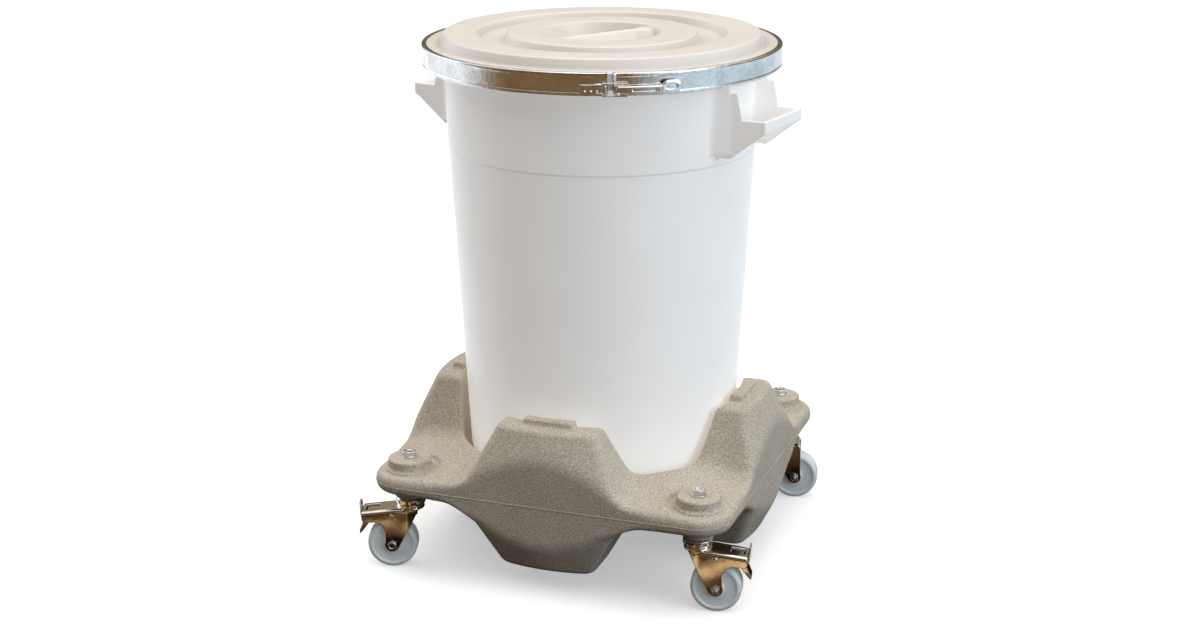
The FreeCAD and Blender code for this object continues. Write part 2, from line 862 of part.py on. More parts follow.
def dolly_body():
    """The hollow moulded dolly: four towers round a well, four feet and a castor boss per corner."""
    outside = dolly_form("dolly_outside", 0)
    bolts = four_ways(s.bolt_offset, s.bolt_offset)

    steps = sketch_on(outside, "XY_Plane", offset=s.tower_top - 1)
    for across, along in four_ways(s.step_radius, as_size(0)):
        half, inner = s.step_half_width, 4
        if as_size(along).number:
            side = along / s.step_radius
            corners = [(-1 * half, side * (s.well_radius + inner)), (half, side * (s.well_radius + inner))]
            corners += [(half, along), (-1 * half, along)]
        else:
            side = across / s.step_radius
            corners = [(side * (s.well_radius + inner), -1 * half), (across, -1 * half)]
            corners += [(across, half), (side * (s.well_radius + inner), half)]
        add_outline(steps, corners)
    pad(outside, steps, s.step_rise + 1)

    bosses = sketch_on(outside, "XY_Plane", offset=s.pad_height - 10)
    for place in bolts:
        add_circle(bosses, place, s.boss_radius)
    pad(outside, bosses, s.boss_height - s.pad_height + 10)
    seats = sketch_on(outside, "XY_Plane", offset=s.castor_height)
    rise = s.underside_height - s.castor_height
    widening = s.castor_boss_root_radius - s.castor_boss_radius
    for place in bolts:
        add_circle(seats, place, s.castor_boss_radius)
    seat_taper = math.degrees(math.atan2(widening.number, rise.number))
    pad(outside, seats, rise + 2, taper=seat_taper)

    drain = add_circle(sketch_on(outside, "XY_Plane", offset=s.bucket_base), (0, 0), s.drain_radius)
    pocket(outside, drain, s.bucket_base - s.underside_height)

    cavity = dolly_form("dolly_inside", s.dolly_skin)
    posts = sketch_on(cavity, "XY_Plane", offset=s.tower_top)
    for place in bolts:
        add_circle(posts, place, s.bolt_hole_radius + s.dolly_skin * 2)
    pocket(cavity, posts, s.tower_top - s.foot_bottom)

    holes = sketch_on(outside, "XY_Plane", offset=s.tower_top)
    for place in bolts:
        add_circle(holes, place, s.bolt_hole_radius)
    pocket(outside, holes, s.tower_top - s.foot_bottom)

    shell = DOC.addObject("Part::Cut", "dolly_body")
    shell.Base = outside
    shell.Tool = cavity
    node("dolly_body", shell)


def hexagon(sketch, centre, across_flats):
    """A hexagon outline about a centre."""
    reach = across_flats / 2 / math.cos(math.pi / 6)
    corners = []
    for i in range(6):
        angle = math.radians(60 * i)
        corners.append((centre[0] + reach * math.cos(angle), centre[1] + reach * math.sin(angle)))
    return add_outline(sketch, corners)


def hex_prism(body, centre, across_flats, low, high):
    """A hexagonal prism parallel to Z."""
    return pad(body, hexagon(sketch_on(body, "XY_Plane", offset=low), centre, across_flats), high - low)


def round_rod(body, centre, radius, low, high):
    """A cylinder parallel to Z."""
    sketch = add_circle(sketch_on(body, "XY_Plane", offset=low), centre, radius)
    return pad(body, sketch, high - low)


def round_hole(body, centre, radius, low, high):
    """A hole parallel to Z."""
    sketch = add_circle(sketch_on(body, "XY_Plane", offset=high), centre, radius)
    return pocket(body, sketch, high - low)


def castor_bolts():
    """The four M12 bolts that hold the castors: hexagon head, flange and shank."""
    body = new_body("castor_bolts")
    place = (s.bolt_offset, s.bolt_offset)
    seat = s.boss_height + s.retainer_height
    end = stud_bottom()
    made = [
        round_rod(body, place, s.stud_radius, end, seat + 1),
        hex_prism(body, place, s.bolt_flats, seat, seat + s.bolt_head_height),
    ]
    around_z(body, made, 4)


def bolt_washers():
    """The four washers under the bolt heads."""
    body = new_body("bolt_washers")
    place = (s.bolt_offset, s.bolt_offset)
    disc = round_rod(body, place, s.stud_radius * 2, s.boss_height, s.boss_height + s.retainer_height)
    hole = round_hole(body, place, s.bolt_hole_radius, s.boss_height - 1, s.boss_height + s.retainer_height + 1)
    around_z(body, [disc, hole], 4)


def sleeve_bottom():
    """The height of the head sleeve's lower end: just under the fork's crown plate."""
    return s.crown_top - s.fork_sheet - s.running_play


def retainer_bottom():
    return sleeve_bottom() - s.retainer_height


def stud_bottom():
    return retainer_bottom() - s.castor_nut_height - 2


def castor_heads():
    """The four fixed head races: a cup against the dolly with a sleeve through the fork."""
    body = new_body("castor_heads")
    race = s.crown_top + s.ball_radius * 2 + s.ball_play * 2
    bore_radius = s.stud_radius + s.pin_play
    outline = [
        (bore_radius, s.castor_height),
        (s.head_radius - s.head_chamfer, s.castor_height),
        (s.head_radius, s.castor_height - s.head_chamfer),
        (s.head_radius, race),
        (s.head_sleeve_radius, race),
        (s.head_sleeve_radius, sleeve_bottom()),
        (bore_radius, sleeve_bottom()),
    ]
    sketch = sketch_on(body, "XZ_Plane", across=s.bolt_offset, offset=-1 * s.bolt_offset)
    head = spin(body, add_outline(sketch, outline))
    around_z(body, [head], 4)


def castor_retainers():
    """The four washers below the forks' crown plates."""
    body = new_body("castor_retainers")
    place = (s.bolt_offset, s.bolt_offset)
    low, high = retainer_bottom(), sleeve_bottom()
    disc = round_rod(body, place, s.stud_radius * 2.5, low, high)
    hole = round_hole(body, place, s.stud_radius + s.pin_play, low - 1, high + 1)
    around_z(body, [disc, hole], 4)


def castor_nuts():
    """The four M12 nuts under the retainers."""
    body = new_body("castor_nuts")
    place = (s.bolt_offset, s.bolt_offset)
    high = retainer_bottom()
    low = high - s.castor_nut_height
    prism = hex_prism(body, place, s.bolt_flats, low, high)
    hole = round_hole(body, place, s.stud_radius + s.pin_play, low - 1, high + 1)
    around_z(body, [prism, hole], 4)


def swivel_balls(count=10):
    """The bearing balls between each head race and its fork's crown, as one group of solids."""
    race_middle = s.crown_top + s.ball_radius + s.ball_play
    balls = []
    for corner_x, corner_y in four_ways(s.bolt_offset, s.bolt_offset):
        for i in range(count):
            angle = 2 * math.pi * i / count
            ball = DOC.addObject("Part::Sphere", "swivel_ball")
            bind(ball, "Radius", s.ball_radius)
            bind(ball, "Placement.Base.x", corner_x + s.ball_ring_radius * math.cos(angle))
            bind(ball, "Placement.Base.y", corner_y + s.ball_ring_radius * math.sin(angle))
            bind(ball, "Placement.Base.z", race_middle)
            balls.append(ball)
    group = DOC.addObject("Part::Compound", "swivel_balls")
    group.Links = balls
    node("swivel_balls", group)


# ---------------------------------------------------------------- castors


CORNERS = {
    "front_left": {"x": -1, "y": -1, "trail_angle": 198, "brake": True},
    "front_right": {"x": 1, "y": -1, "trail_angle": 10, "brake": True},
    "rear_right": {"x": 1, "y": 1, "trail_angle": 12, "brake": False},
    "rear_left": {"x": -1, "y": 1, "trail_angle": 158, "brake": False},
}


def castor_body(label, corner):
    """A body in the castor's own frame: swivel axis on Z, floor at 0, wheel towards +X."""
    return new_body(
        f"{label}_{corner}",
        turn=CORNERS[corner]["trail_angle"],
        across=s.bolt_offset * CORNERS[corner]["x"],
        along=s.bolt_offset * CORNERS[corner]["y"],
    )


def side_outline(body, outline):
    """A sketch of an outline seen along the axle: distance behind the swivel axis, and height."""
    return add_outline(sketch_on(body, "XZ_Plane"), outline)


def side_circle(body, centre, radius):
    return add_circle(sketch_on(body, "XZ_Plane"), centre, radius)


def arm_slope():
    """How much the fork's top plate falls for each millimetre behind the bend."""
    return (s.crown_top - s.arm_end_top) / (s.arm_reach - s.arm_bend)


def under_crown(behind):
    """The height of the top plate's underside at a distance behind the swivel axis."""
    return s.crown_top - s.fork_sheet - arm_slope() * (behind - s.arm_bend)


def cheek_outline(braked):
    """The side outline of the fork's cheeks; a braked fork's run on over the wheel as an arm."""
    axle, end = s.wheel_radius, s.leg_end_radius
    outline = [
        (-13, s.crown_top),
        (-12, s.crown_top - 6),
        (s.trail - end - 0.5, axle - 3),
        (s.trail, axle - end),
        (s.trail + end, axle),
        (s.trail + end - 1, axle + 4),
    ]
    if braked:
        outline += [
            (s.trail + end - 1.5, axle + 24),
            (s.trail + end + 2.5, axle + 33),
            (s.trail + end + 12, s.arm_end_bottom),
            (s.arm_reach - 3, s.arm_end_bottom - 1),
            (s.arm_reach, s.arm_end_bottom + 4),
            (s.arm_reach, s.arm_end_top),
            (s.arm_bend, s.crown_top),
        ]
    else:
        outline += [(s.trail + end - 2, s.crown_top - 8), (s.trail + 6, s.crown_top)]
    return outline


def fork(corner):
    """A pressed fork: a crown plate with a ball race, and two cheeks down to the axle.

    A braked fork's arm is slotted near its end, and drilled for the pedal's pin.
    """
    body = castor_body("fork", corner)
    braked = CORNERS[corner]["brake"]
    outside = (s.fork_inside + s.fork_sheet) * 2
    axle = (s.trail, s.wheel_radius)
    pad(body, side_outline(body, cheek_outline(braked)), outside, symmetric=True)
    pad(body, side_circle(body, axle, s.leg_end_radius), outside, symmetric=True)

    under = s.crown_top - s.fork_sheet
    floor, far = 10, 100
    room = [(-far, floor), (far, floor)]
    room += [(far, under_crown(far)), (s.arm_bend, under)] if braked else [(far, under)]
    room += [(-far, under)]
    pocket(body, side_outline(body, room), s.fork_inside * 2, symmetric=True)

    lip = [
        (s.head_sleeve_radius, under),
        (s.crown_radius, under),
        (s.crown_radius, s.crown_lip_top),
        (s.crown_radius - s.crown_lip, s.crown_lip_top),
        (s.crown_radius - s.crown_lip, s.crown_top),
        (s.head_sleeve_radius, s.crown_top),
    ]
    spin(body, side_outline(body, lip))
    round_hole(body, (0, 0), s.head_sleeve_radius + s.running_play, under - 1, s.crown_top + 1)
    pocket(body, side_circle(body, axle, s.axle_radius + s.pin_play), outside + 2, symmetric=True)
    if braked:
        pin = (s.pedal_pin_across, s.pedal_pin_height)
        pocket(body, side_circle(body, pin, s.pedal_pin_radius + s.pin_play), outside + 2, symmetric=True)
        near, far, half = s.arm_slot_start, s.arm_slot_end, s.arm_slot_half_width
        slot = sketch_on(body, "XY_Plane", offset=s.crown_top)
        add_outline(slot, [(near, -half), (far, -half), (far, half), (near, half)])
        pocket(body, slot, s.crown_top - under_crown(s.arm_slot_end) + 1)


def wheel(corner):
    """A solid wheel, turned about the axle: rounded tread, a raised rim ring and a dished face."""
    body = castor_body("wheel", corner)
    half, hub = s.wheel_half_width, s.wheel_hub_half_width
    bore_radius = s.sleeve_radius + s.running_play
    shoulder = 3
    rim = s.wheel_radius - shoulder
    one_face = [
        (half - shoulder, s.wheel_radius),
        (half, rim),
        (half, rim - s.wheel_rim_ring),
        (half - s.wheel_dish, rim - s.wheel_rim_ring - 2),
        (half - s.wheel_dish, s.wheel_hub_radius + 1),
        (hub, s.wheel_hub_radius - 1),
        (hub, bore_radius),
    ]
    outline = [(-1 * across, radius) for across, radius in one_face]
    outline += list(reversed(one_face))
    sketch = sketch_on(body, "YZ_Plane", offset=s.trail, along=s.wheel_radius)
    spin(body, add_outline(sketch, outline), axis="H_Axis")


def axle_parts(corner):
    """The axle bolt, its nut and the sleeve between the fork's cheeks."""
    axle = (s.trail, s.wheel_radius)
    outside = s.fork_inside + s.fork_sheet
    thread_end = s.axle_nut_height + 1.5

    sleeve = castor_body("axle_sleeve", corner)
    length = (s.fork_inside - s.pin_play) * 2
    pad(sleeve, side_circle(sleeve, axle, s.sleeve_radius), length, symmetric=True)
    pocket(sleeve, side_circle(sleeve, axle, s.axle_radius + s.pin_play), length + 2, symmetric=True)

    bolt = castor_body("axle_bolt", corner)
    shank = add_circle(sketch_on(bolt, "XZ_Plane", offset=-outside), axle, s.axle_radius)
    pad(bolt, shank, outside * 2 + thread_end)
    head_plane = sketch_on(bolt, "XZ_Plane", offset=-outside - s.axle_head_height)
    pad(bolt, hexagon(head_plane, axle, s.axle_flats), s.axle_head_height)

    nut = castor_body("axle_nut", corner)
    pad(nut, hexagon(sketch_on(nut, "XZ_Plane", offset=outside), axle, s.axle_flats), s.axle_nut_height)
    reach = (outside + s.axle_nut_height) * 2 + 2
    pocket(nut, side_circle(nut, axle, s.axle_radius + s.pin_play), reach, symmetric=True)


def brake_pedal(corner):
    """The pedal that rocks inside the arm: a plate, a tab turned up and a toe turned down."""
    body = castor_body("brake_pedal", corner)
    pin_x, pin_z = s.pedal_pin_across, s.pedal_pin_height
    sheet, bend = s.pedal_sheet, s.arm_end_bottom + 5
    plate = [
        (pin_x - 3, pin_z - 3),
        (s.arm_reach - 3.5, bend - sheet),
        (s.arm_reach + 1.5, s.pedal_toe_bottom),
        (s.arm_reach + 1.5 + sheet, s.pedal_toe_bottom),
        (s.arm_reach + 2, bend),
        (s.arm_reach + 1.8 + sheet, s.pedal_tab_top),
        (s.arm_reach + 1.8, s.pedal_tab_top),
        (s.arm_reach + 0.6, bend + 1.2),
        (pin_x + 3, pin_z),
    ]
    pad(body, side_outline(body, plate), s.pedal_half_width * 2, symmetric=True)
    eye = side_circle(body, (pin_x, pin_z), s.pedal_pin_radius + s.pedal_sheet)
    pad(body, eye, (s.fork_inside - 0.3) * 2, symmetric=True)
    hole = side_circle(body, (pin_x, pin_z), s.pedal_pin_radius + s.running_play)
    pocket(body, hole, s.fork_inside * 2, symmetric=True)


def brake_pin(corner):
    """The pedal's riveted pin, with a head outside each cheek."""
    body = castor_body("brake_pin", corner)
    pivot = (s.pedal_pin_across, s.pedal_pin_height)
    outside = s.fork_inside + s.fork_sheet
    head, play = 1.4, 0.1
    pad(body, side_circle(body, pivot, s.pedal_pin_radius), (outside + head / 2) * 2, symmetric=True)
    for offset in (-outside - head - play, outside + play):
        cap = add_circle(sketch_on(body, "XZ_Plane", offset=offset), pivot, s.pedal_pin_radius + 1)
        pad(body, cap, head)


def brake_spring(corner):
    """The leaf spring that lies under the arm's top plate."""
    body = castor_body("brake_spring", corner)
    near, far = s.arm_slot_start - 10.5, s.arm_slot_end - 3
    top = under_crown(near) - s.pin_play, under_crown(far) - s.pin_play
    strip = [(near, top[0]), (far, top[1]), (far, top[1] - s.spring_sheet), (near, top[0] - s.spring_sheet)]
    pad(body, side_outline(body, strip), s.spring_width, symmetric=True)


# ---------------------------------------------------------------- the whole object


def build():
    """Model every sub-part."""
    bucket()
    lid()
    lid_seal()
    band_half("band_right", to_the_right=True)
    band_half("band_left", to_the_right=False)
    lever_bracket()
    lever_pin()
    clamp_lever()
    clamp_link()
    catch_bracket()
    dolly_body()
    castor_bolts()
    bolt_washers()
    castor_heads()
    castor_retainers()
    castor_nuts()
    swivel_balls()
    for corner, choice in CORNERS.items():
        fork(corner)
        wheel(corner)
        axle_parts(corner)
        if choice["brake"]:
            brake_pedal(corner)
            brake_pin(corner)
            brake_spring(corner)
    DOC.recompute()


def check():
    """Stop when any object failed or any sub-part has no valid shape."""
    for item in DOC.Objects:
        if "Invalid" in item.State or "Error" in item.State:
            raise RuntimeError(f"{item.Label} is {item.State}")
    for label, item in NODES.items():
        if item.Shape.isNull() or not item.Shape.isValid() or not item.Shape.Solids:
            raise RuntimeError(f"{label} has no valid solid")


def write():
    """Write each sub-part's shape to its own STEP file."""
    os.makedirs("parts", exist_ok=True)
    for label, item in NODES.items():
        item.Shape.exportStep(f"parts/{label}.step")
        print(f"{label}: {len(item.Shape.Solids)} solid(s), {item.Shape.Volume / 1000:.1f} cm3")


build()
check()
write()
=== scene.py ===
"""The looks of the wash bucket: bucket, lid, clamp ring with its lock, moulded dolly and castors.

Shapes are worked out in millimetres in the CAD frame and written to meshes in metres.
"""

import json
import math
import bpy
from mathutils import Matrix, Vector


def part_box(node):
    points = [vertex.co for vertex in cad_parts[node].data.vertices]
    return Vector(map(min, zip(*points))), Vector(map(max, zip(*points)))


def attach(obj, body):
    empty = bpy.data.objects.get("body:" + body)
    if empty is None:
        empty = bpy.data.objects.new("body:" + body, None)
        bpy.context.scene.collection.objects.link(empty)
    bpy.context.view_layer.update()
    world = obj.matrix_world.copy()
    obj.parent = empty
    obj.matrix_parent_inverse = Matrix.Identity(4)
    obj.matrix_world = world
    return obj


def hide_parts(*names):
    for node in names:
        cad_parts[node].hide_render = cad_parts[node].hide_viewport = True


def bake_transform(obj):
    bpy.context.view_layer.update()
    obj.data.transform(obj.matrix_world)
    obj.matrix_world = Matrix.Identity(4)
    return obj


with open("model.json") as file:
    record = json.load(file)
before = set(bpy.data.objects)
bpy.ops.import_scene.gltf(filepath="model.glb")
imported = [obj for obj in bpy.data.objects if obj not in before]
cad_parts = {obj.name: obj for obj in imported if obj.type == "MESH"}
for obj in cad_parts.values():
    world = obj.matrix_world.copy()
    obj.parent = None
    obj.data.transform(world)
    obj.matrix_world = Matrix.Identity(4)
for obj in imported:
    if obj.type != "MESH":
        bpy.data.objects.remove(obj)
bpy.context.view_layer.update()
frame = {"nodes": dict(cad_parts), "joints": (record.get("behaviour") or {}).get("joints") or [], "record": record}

from types import SimpleNamespace as Sizes

import bpy
import numpy as np
from mathutils import Vector

MM = 0.001
JOINTS = {joint["name"]: joint for joint in frame["joints"]}


def mm_box(node):
    """A node's lowest and highest corner in millimetres."""
    low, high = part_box(node)
    return np.array(low) / MM, np.array(high) / MM


# ---- fields: shapes as signed distances


def both(a, b, blend):
    """The larger of two distances, rounded where they meet."""
    near = np.maximum(blend - np.abs(a - b), 0) / blend
    return np.maximum(a, b) + near * near * blend / 4


def either(a, b, blend):
    """The smaller of two distances, with a fillet where they meet."""
    return -both(-a, -b, blend)


def slab(value, low, high):
    """Distance outside a band of values."""
    return np.maximum(low - value, value - high)


def box_2d(x, y, half_x, half_y, corner=0.0):
    """Distance to a rectangle with rounded corners."""
    qx, qy = np.abs(x) - half_x + corner, np.abs(y) - half_y + corner
    outside = np.hypot(np.maximum(qx, 0), np.maximum(qy, 0))
    return outside + np.minimum(np.maximum(qx, qy), 0) - corner


def polygon_2d(x, y, points):
    """Distance to a closed polygon, negative inside."""
    points = np.asarray(points, float)
    best = np.full(x.shape, np.inf)
    inside = np.zeros(x.shape, bool)
    for (ax, ay), (bx, by) in zip(points, np.roll(points, -1, axis=0)):
        ex, ey = bx - ax, by - ay
        px, py = x - ax, y - ay
        along = np.clip((px * ex + py * ey) / (ex * ex + ey * ey), 0, 1)
        best = np.minimum(best, (px - along * ex) ** 2 + (py - along * ey) ** 2)
        crosses = (ay > y) != (by > y)
        inside ^= crosses & (px < ex * py / np.where(ey == 0, 1e-9, ey))
    return np.where(inside, -1, 1) * np.sqrt(best)


def gradient(field, points, step=0.05):
    """The field's slope at points, by central differences."""
    slope = np.empty_like(points)
    for axis in range(3):
        shift = np.zeros(3)
        shift[axis] = step
        slope[:, axis] = (field(points + shift) - field(points - shift)) / (2 * step)
    return slope


def cell_size(fine):
    return fine


def surface_net(field, low, high, cell):
    """Vertices and quads on the field's zero surface, one vertex in each cell it crosses."""
    low, high = np.asarray(low, float), np.asarray(high, float)
    counts = np.ceil((high - low) / cell).astype(int) + 1
    axes = [low[i] + cell * np.arange(counts[i]) for i in range(3)]
    grid = np.stack(np.meshgrid(*axes, indexing="ij"), -1)
    value = field(grid)
    inside = value < 0
    cells = tuple(counts - 1)
    total = np.zeros(cells + (3,))
    hits = np.zeros(cells)
    quads = []
    numbers = np.arange(np.prod(cells)).reshape(cells)
    for axis in range(3):
        ahead = np.moveaxis(value, axis, 0)
        side = np.moveaxis(inside, axis, 0)
        crossing = np.moveaxis(side[1:] != side[:-1], 0, axis)
        start, stop = ahead[:-1], ahead[1:]
        part = np.moveaxis(start / np.where(start == stop, 1, start - stop), 0, axis)
        index = np.argwhere(crossing)
        others = [i for i in range(3) if i != axis]
        index = index[((index[:, others] > 0) & (index[:, others] < counts[others] - 1)).all(axis=1)]
        place = low + cell * index.astype(float)
        place[:, axis] += cell * part[tuple(index.T)]
        ring = []
        for step in ((-1, -1), (0, -1), (0, 0), (-1, 0)):
            around = index.copy()
            around[:, others] += step
            around = tuple(around.T)
            np.add.at(total, around, place)
            np.add.at(hits, around, 1)
            ring.append(numbers[around])
        ring = np.stack(ring, axis=1)
        flip = inside[tuple(index.T)] == (axis == 1)
        ring[flip] = ring[flip][:, ::-1]
        quads.append(ring)
    used = hits > 0
    renumber = np.full(hits.size, -1)
    renumber[numbers[used]] = np.arange(used.sum())
    points = total[used] / hits[used][:, None]
    return points, renumber[np.concatenate(quads)]


def settle(field, points, rounds=4):
    """Move points along the slope onto the zero surface."""
    for _ in range(rounds):
        slope = gradient(field, points)
        size = np.maximum((slope * slope).sum(axis=1), 0.05)
        points = points - slope * (field(points) / size)[:, None]
    return points


# ---- meshes


def add_object(name, data):
    """A new object in the scene."""
    thing = bpy.data.objects.new(name, data)
    bpy.context.scene.collection.objects.link(thing)
    return thing


def add_mesh(name, shell, look, body, *replaced):
    """A smooth mesh from a shell in millimetres, in place of CAD nodes, riding on a body."""
    points, faces = shell
    mesh = bpy.data.meshes.new(name)
    mesh.from_pydata((points * MM).tolist(), [], [list(map(int, face)) for face in faces])
    mesh.validate()
    mesh.shade_smooth()
    piece = add_object(name, mesh)
    mesh.materials.append(LOOKS[look])
    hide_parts(*replaced)
    if body:
        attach(piece, body)
    return piece


def place_points(points, origin=(0, 0, 0), turn=0.0):
    """Points turned about Z by an angle in degrees, then moved."""
    c, s = math.cos(math.radians(turn)), math.sin(math.radians(turn))
    x, y, z = np.asarray(points, float).T
    return np.stack([c * x - s * y, s * x + c * y, z], axis=1) + origin


def rounded_path(corners, closed=True, steps=6):
    """A path through (x, y, radius) corners, with an arc at each that has a radius."""
    path = []
    count = len(corners)
    for i, (x, y, radius) in enumerate(corners):
        here = np.array([x, y], float)
        if radius <= 0 or (not closed and i in (0, count - 1)):
            path.append(here)
            continue
        before = np.array(corners[i - 1][:2], float) - here
        after = np.array(corners[(i + 1) % count][:2], float) - here
        length_before, length_after = np.linalg.norm(before), np.linalg.norm(after)
        before, after = before / length_before, after / length_after
        opening = math.acos(np.clip(before @ after, -1, 1))
        reach = min(radius / math.tan(opening / 2), 0.49 * min(length_before, length_after))
        radius = reach * math.tan(opening / 2)
        middle = (before + after) / np.linalg.norm(before + after)
        centre = here + middle * radius / math.sin(opening / 2)
        start, stop = here + before * reach - centre, here + after * reach - centre
        swing = math.atan2(start[0] * stop[1] - start[1] * stop[0], start @ stop)
        for k in range(steps + 1):
            angle = swing * k / steps
            c, s = math.cos(angle), math.sin(angle)
            path.append(centre + np.array([c * start[0] - s * start[1], s * start[0] + c * start[1]]))
    return np.array(path)


def refine(path, longest, closed=True):
    """Add points along a path so that no piece is longer than a limit."""
    fine = []
    ends = np.roll(path, -1, axis=0) if closed else path[1:]
    for start, stop in zip(path, ends):
        pieces = max(1, int(math.ceil(np.linalg.norm(stop - start) / longest)))
        fine += [start + (stop - start) * k / pieces for k in range(pieces)]
    if not closed:
        fine.append(path[-1])
    return np.array(fine)


def moved(shell, origin=(0, 0, 0), turn=0.0):
    """A shell turned about Z, then moved."""
    return place_points(shell[0], origin, turn), shell[1]


def mirrored(shell, axis):
    """A shell mirrored along an axis."""
    points = shell[0].copy()
    points[:, axis] *= -1
    return points, [face[::-1] for face in shell[1]]


def sweep_faces(count, span, segments, columns):
    """Quads between neighbouring copies of a path."""
    faces = []
    for i in range(segments):
        here, after = i * count, ((i + 1) % columns) * count
        for j in range(span):
            k = (j + 1) % count
            faces.append((here + j, after + j, after + k, here + k))
    return faces


def lathe(path, segments, closed=True, sweep=None):
    """A shell of a (radius, height) path turned about Z, or swept between two angles."""
    full = sweep is None
    start, stop = (0.0, 2 * math.pi) if full else sweep
    columns = segments if full else segments + 1
    angles = start + (stop - start) * np.arange(columns) / segments
    count = len(path)
    points = np.empty((columns, count, 3))
    points[..., 0] = np.cos(angles)[:, None] * path[:, 0]
    points[..., 1] = np.sin(angles)[:, None] * path[:, 0]
    points[..., 2] = path[:, 1]
    faces = sweep_faces(count, count if closed else count - 1, segments, columns)
    if not full and closed:
        faces.append(tuple(range(count))[::-1])
        faces.append(tuple((columns - 1) * count + j for j in range(count)))
    return points.reshape(-1, 3), faces


def turned(corners, segments, longest=None, closed=True):
    """A shell of (radius, height, rounding) corners turned about Z."""
    path = rounded_path(corners, closed)
    return lathe(refine(path, longest, closed) if longest else path, segments, closed)


def merge(*shells):
    """Several shells as one."""
    points, faces, base = [], [], 0
    for shell_points, shell_faces in shells:
        points.append(np.asarray(shell_points, float))
        faces += [tuple(int(v) + base for v in face) for face in shell_faces]
        base += len(shell_points)
    return np.concatenate(points), faces


def field_shell(field, low, high, cell):
    """A shell on a field's zero surface."""
    points, quads = surface_net(field, low, high, cell)
    return settle(field, points), quads


# ---- materials


WHITE, CREAM, GRANITE = "white_polyethylene", "cream_polyethylene", "granite_polyethylene"
GALVANISED, LOCK_STEEL, CASTOR_STEEL = "galvanised_band", "lock_steel", "castor_steel"
ZINC, NYLON, RUBBER = "zinc_fasteners", "nylon", "seal_rubber"
LOOKS = {}


class Nodes:
    """The shader nodes of a material or a world."""

    def __init__(self, owner, scale=1 / MM, source="Object"):
        owner.use_nodes = True
        self.owner = owner
        self.tree = owner.node_tree
        self.shader = self.tree.nodes.get("Principled BSDF")
        self.normal = None
        self.place = self.vector("MULTIPLY", self.add("TexCoord").outputs[source], (scale,) * 3)

    def feed(self, socket, value):
        """Link a socket to a node's output, or give it a value."""
        if isinstance(value, bpy.types.NodeSocket):
            self.tree.links.new(value, socket)
        elif value is not None:
            socket.default_value = (*value, 1) if socket.type == "RGBA" else value

    def add(self, kind, **inputs):
        """A new node with its inputs fed by name."""
        node = self.tree.nodes.new("ShaderNode" + kind)
        for name, value in inputs.items():
            self.feed(node.inputs[name], value)
        return node

    def set(self, name, value):
        """Feed one of the principled shader's inputs."""
        self.feed(self.shader.inputs[name], value)

    def noise(self, size, detail=3.0, roughness=0.5):
        """Noise whose features are about a size."""
        noise = self.add("TexNoise", Vector=self.place, Scale=1 / size, Detail=detail, Roughness=roughness)
        return noise.outputs["Fac"]

    def cells(self, size, output="Distance"):
        """Voronoi cells of about a size."""
        return self.add("TexVoronoi", Vector=self.place, Scale=1 / size).outputs[output]

    def vector(self, operation, first, second=None):
        """A vector operation."""
        node = self.add("VectorMath")
        node.operation = operation
        self.feed(node.inputs[0], first)
        self.feed(node.inputs[1], second)
        return node.outputs["Value" if operation in ("DOT_PRODUCT", "LENGTH") else "Vector"]

    def ramp(self, value, *stops):
        """A colour ramp through (position, colour or grey) stops."""
        node = self.add("ValToRGB", Fac=value)
        elements = node.color_ramp.elements
        elements.remove(elements[1])
        elements[0].position = stops[0][0]
        for position, _ in stops[1:]:
            elements.new(position)
        for element, (_, colour) in zip(elements, stops):
            element.color = (*(colour if isinstance(colour, tuple) else (colour,) * 3), 1)
        return node.outputs["Color"]

    def mix(self, factor, first, second, kind="MIX"):
        """Two colours mixed by a factor."""
        node = self.add("Mix")
        node.data_type = "RGBA"
        node.blend_type = kind
        for index, value in ((0, factor), (6, first), (7, second)):
            self.feed(node.inputs[index], value)
        return node.outputs[2]

    def is_ray(self, kind):
        """One for a kind of ray, such as Camera or Glossy, and zero for any other."""
        return self.add("LightPath").outputs[f"Is {kind} Ray"]

    def bump(self, height, depth, strength=1.0):
        """Bump the surface by a height, in millimetres, on top of any bump before."""
        node = self.add("Bump", Height=height, Distance=depth * MM, Strength=strength, Normal=self.normal)
        self.normal = node.outputs["Normal"]
        self.set("Normal", self.normal)


def new_look(name):
    """The nodes of a new material, kept by its name."""
    look = Nodes(bpy.data.materials.new(name))
    LOOKS[name] = look.owner
    return look


def plastic(name, shades, gloss, painted_glow, painted_crease_shade=None):
    """Satin polyethylene: two cloudy shades, faint scuffs, slow ripples and a painted glow, emitted light in its
    own colour that stands in for light through the plastic.
    """
    look = new_look(name)
    tint = look.ramp(look.noise(120, detail=2), (0.3, shades[0]), (0.7, shades[1]))
    # Painted shade in creases, multiplied into the colour when given.
    if painted_crease_shade:
        tint = painted_crease_shade(look, tint)
    look.set("Base Color", tint)
    look.set("Roughness", look.ramp(look.noise(14, detail=2), (0.35, gloss[0]), (0.75, gloss[1])))
    # Painted glow: the plastic emits its own colour, though it is no lamp.
    look.set("Emission Color", tint)
    look.set("Emission Strength", painted_glow)
    look.bump(look.noise(40, detail=2), 0.2, 0.5)


def lid_painted_crease_shade(look, colour):
    """The lid's colour with painted shade, darker at the feet of its rings and on its low parts, where shade
    falls.
    """
    flat = look.vector("MULTIPLY", look.place, (1 / LID.radius, 1 / LID.radius, 0))
    # Painted shade by radius: a colour multiplier, lower at the ring feet, in the groove and at the rim.
    painted_shade_by_radius = ((0, 1.0), (84, 1.0), (90, 0.9), (96, 1.0), (147, 1.0), (153, 0.80), (164, 0.91), (181, 0.91),
              (192, 0.82), (198, 1.0), (251, 1.0), (257, 0.76), (264, 0.92))
    stops = [(radius / LID.radius, depth) for radius, depth in painted_shade_by_radius]
    return look.mix(1.0, colour, look.ramp(look.vector("LENGTH", flat), *stops), "MULTIPLY")


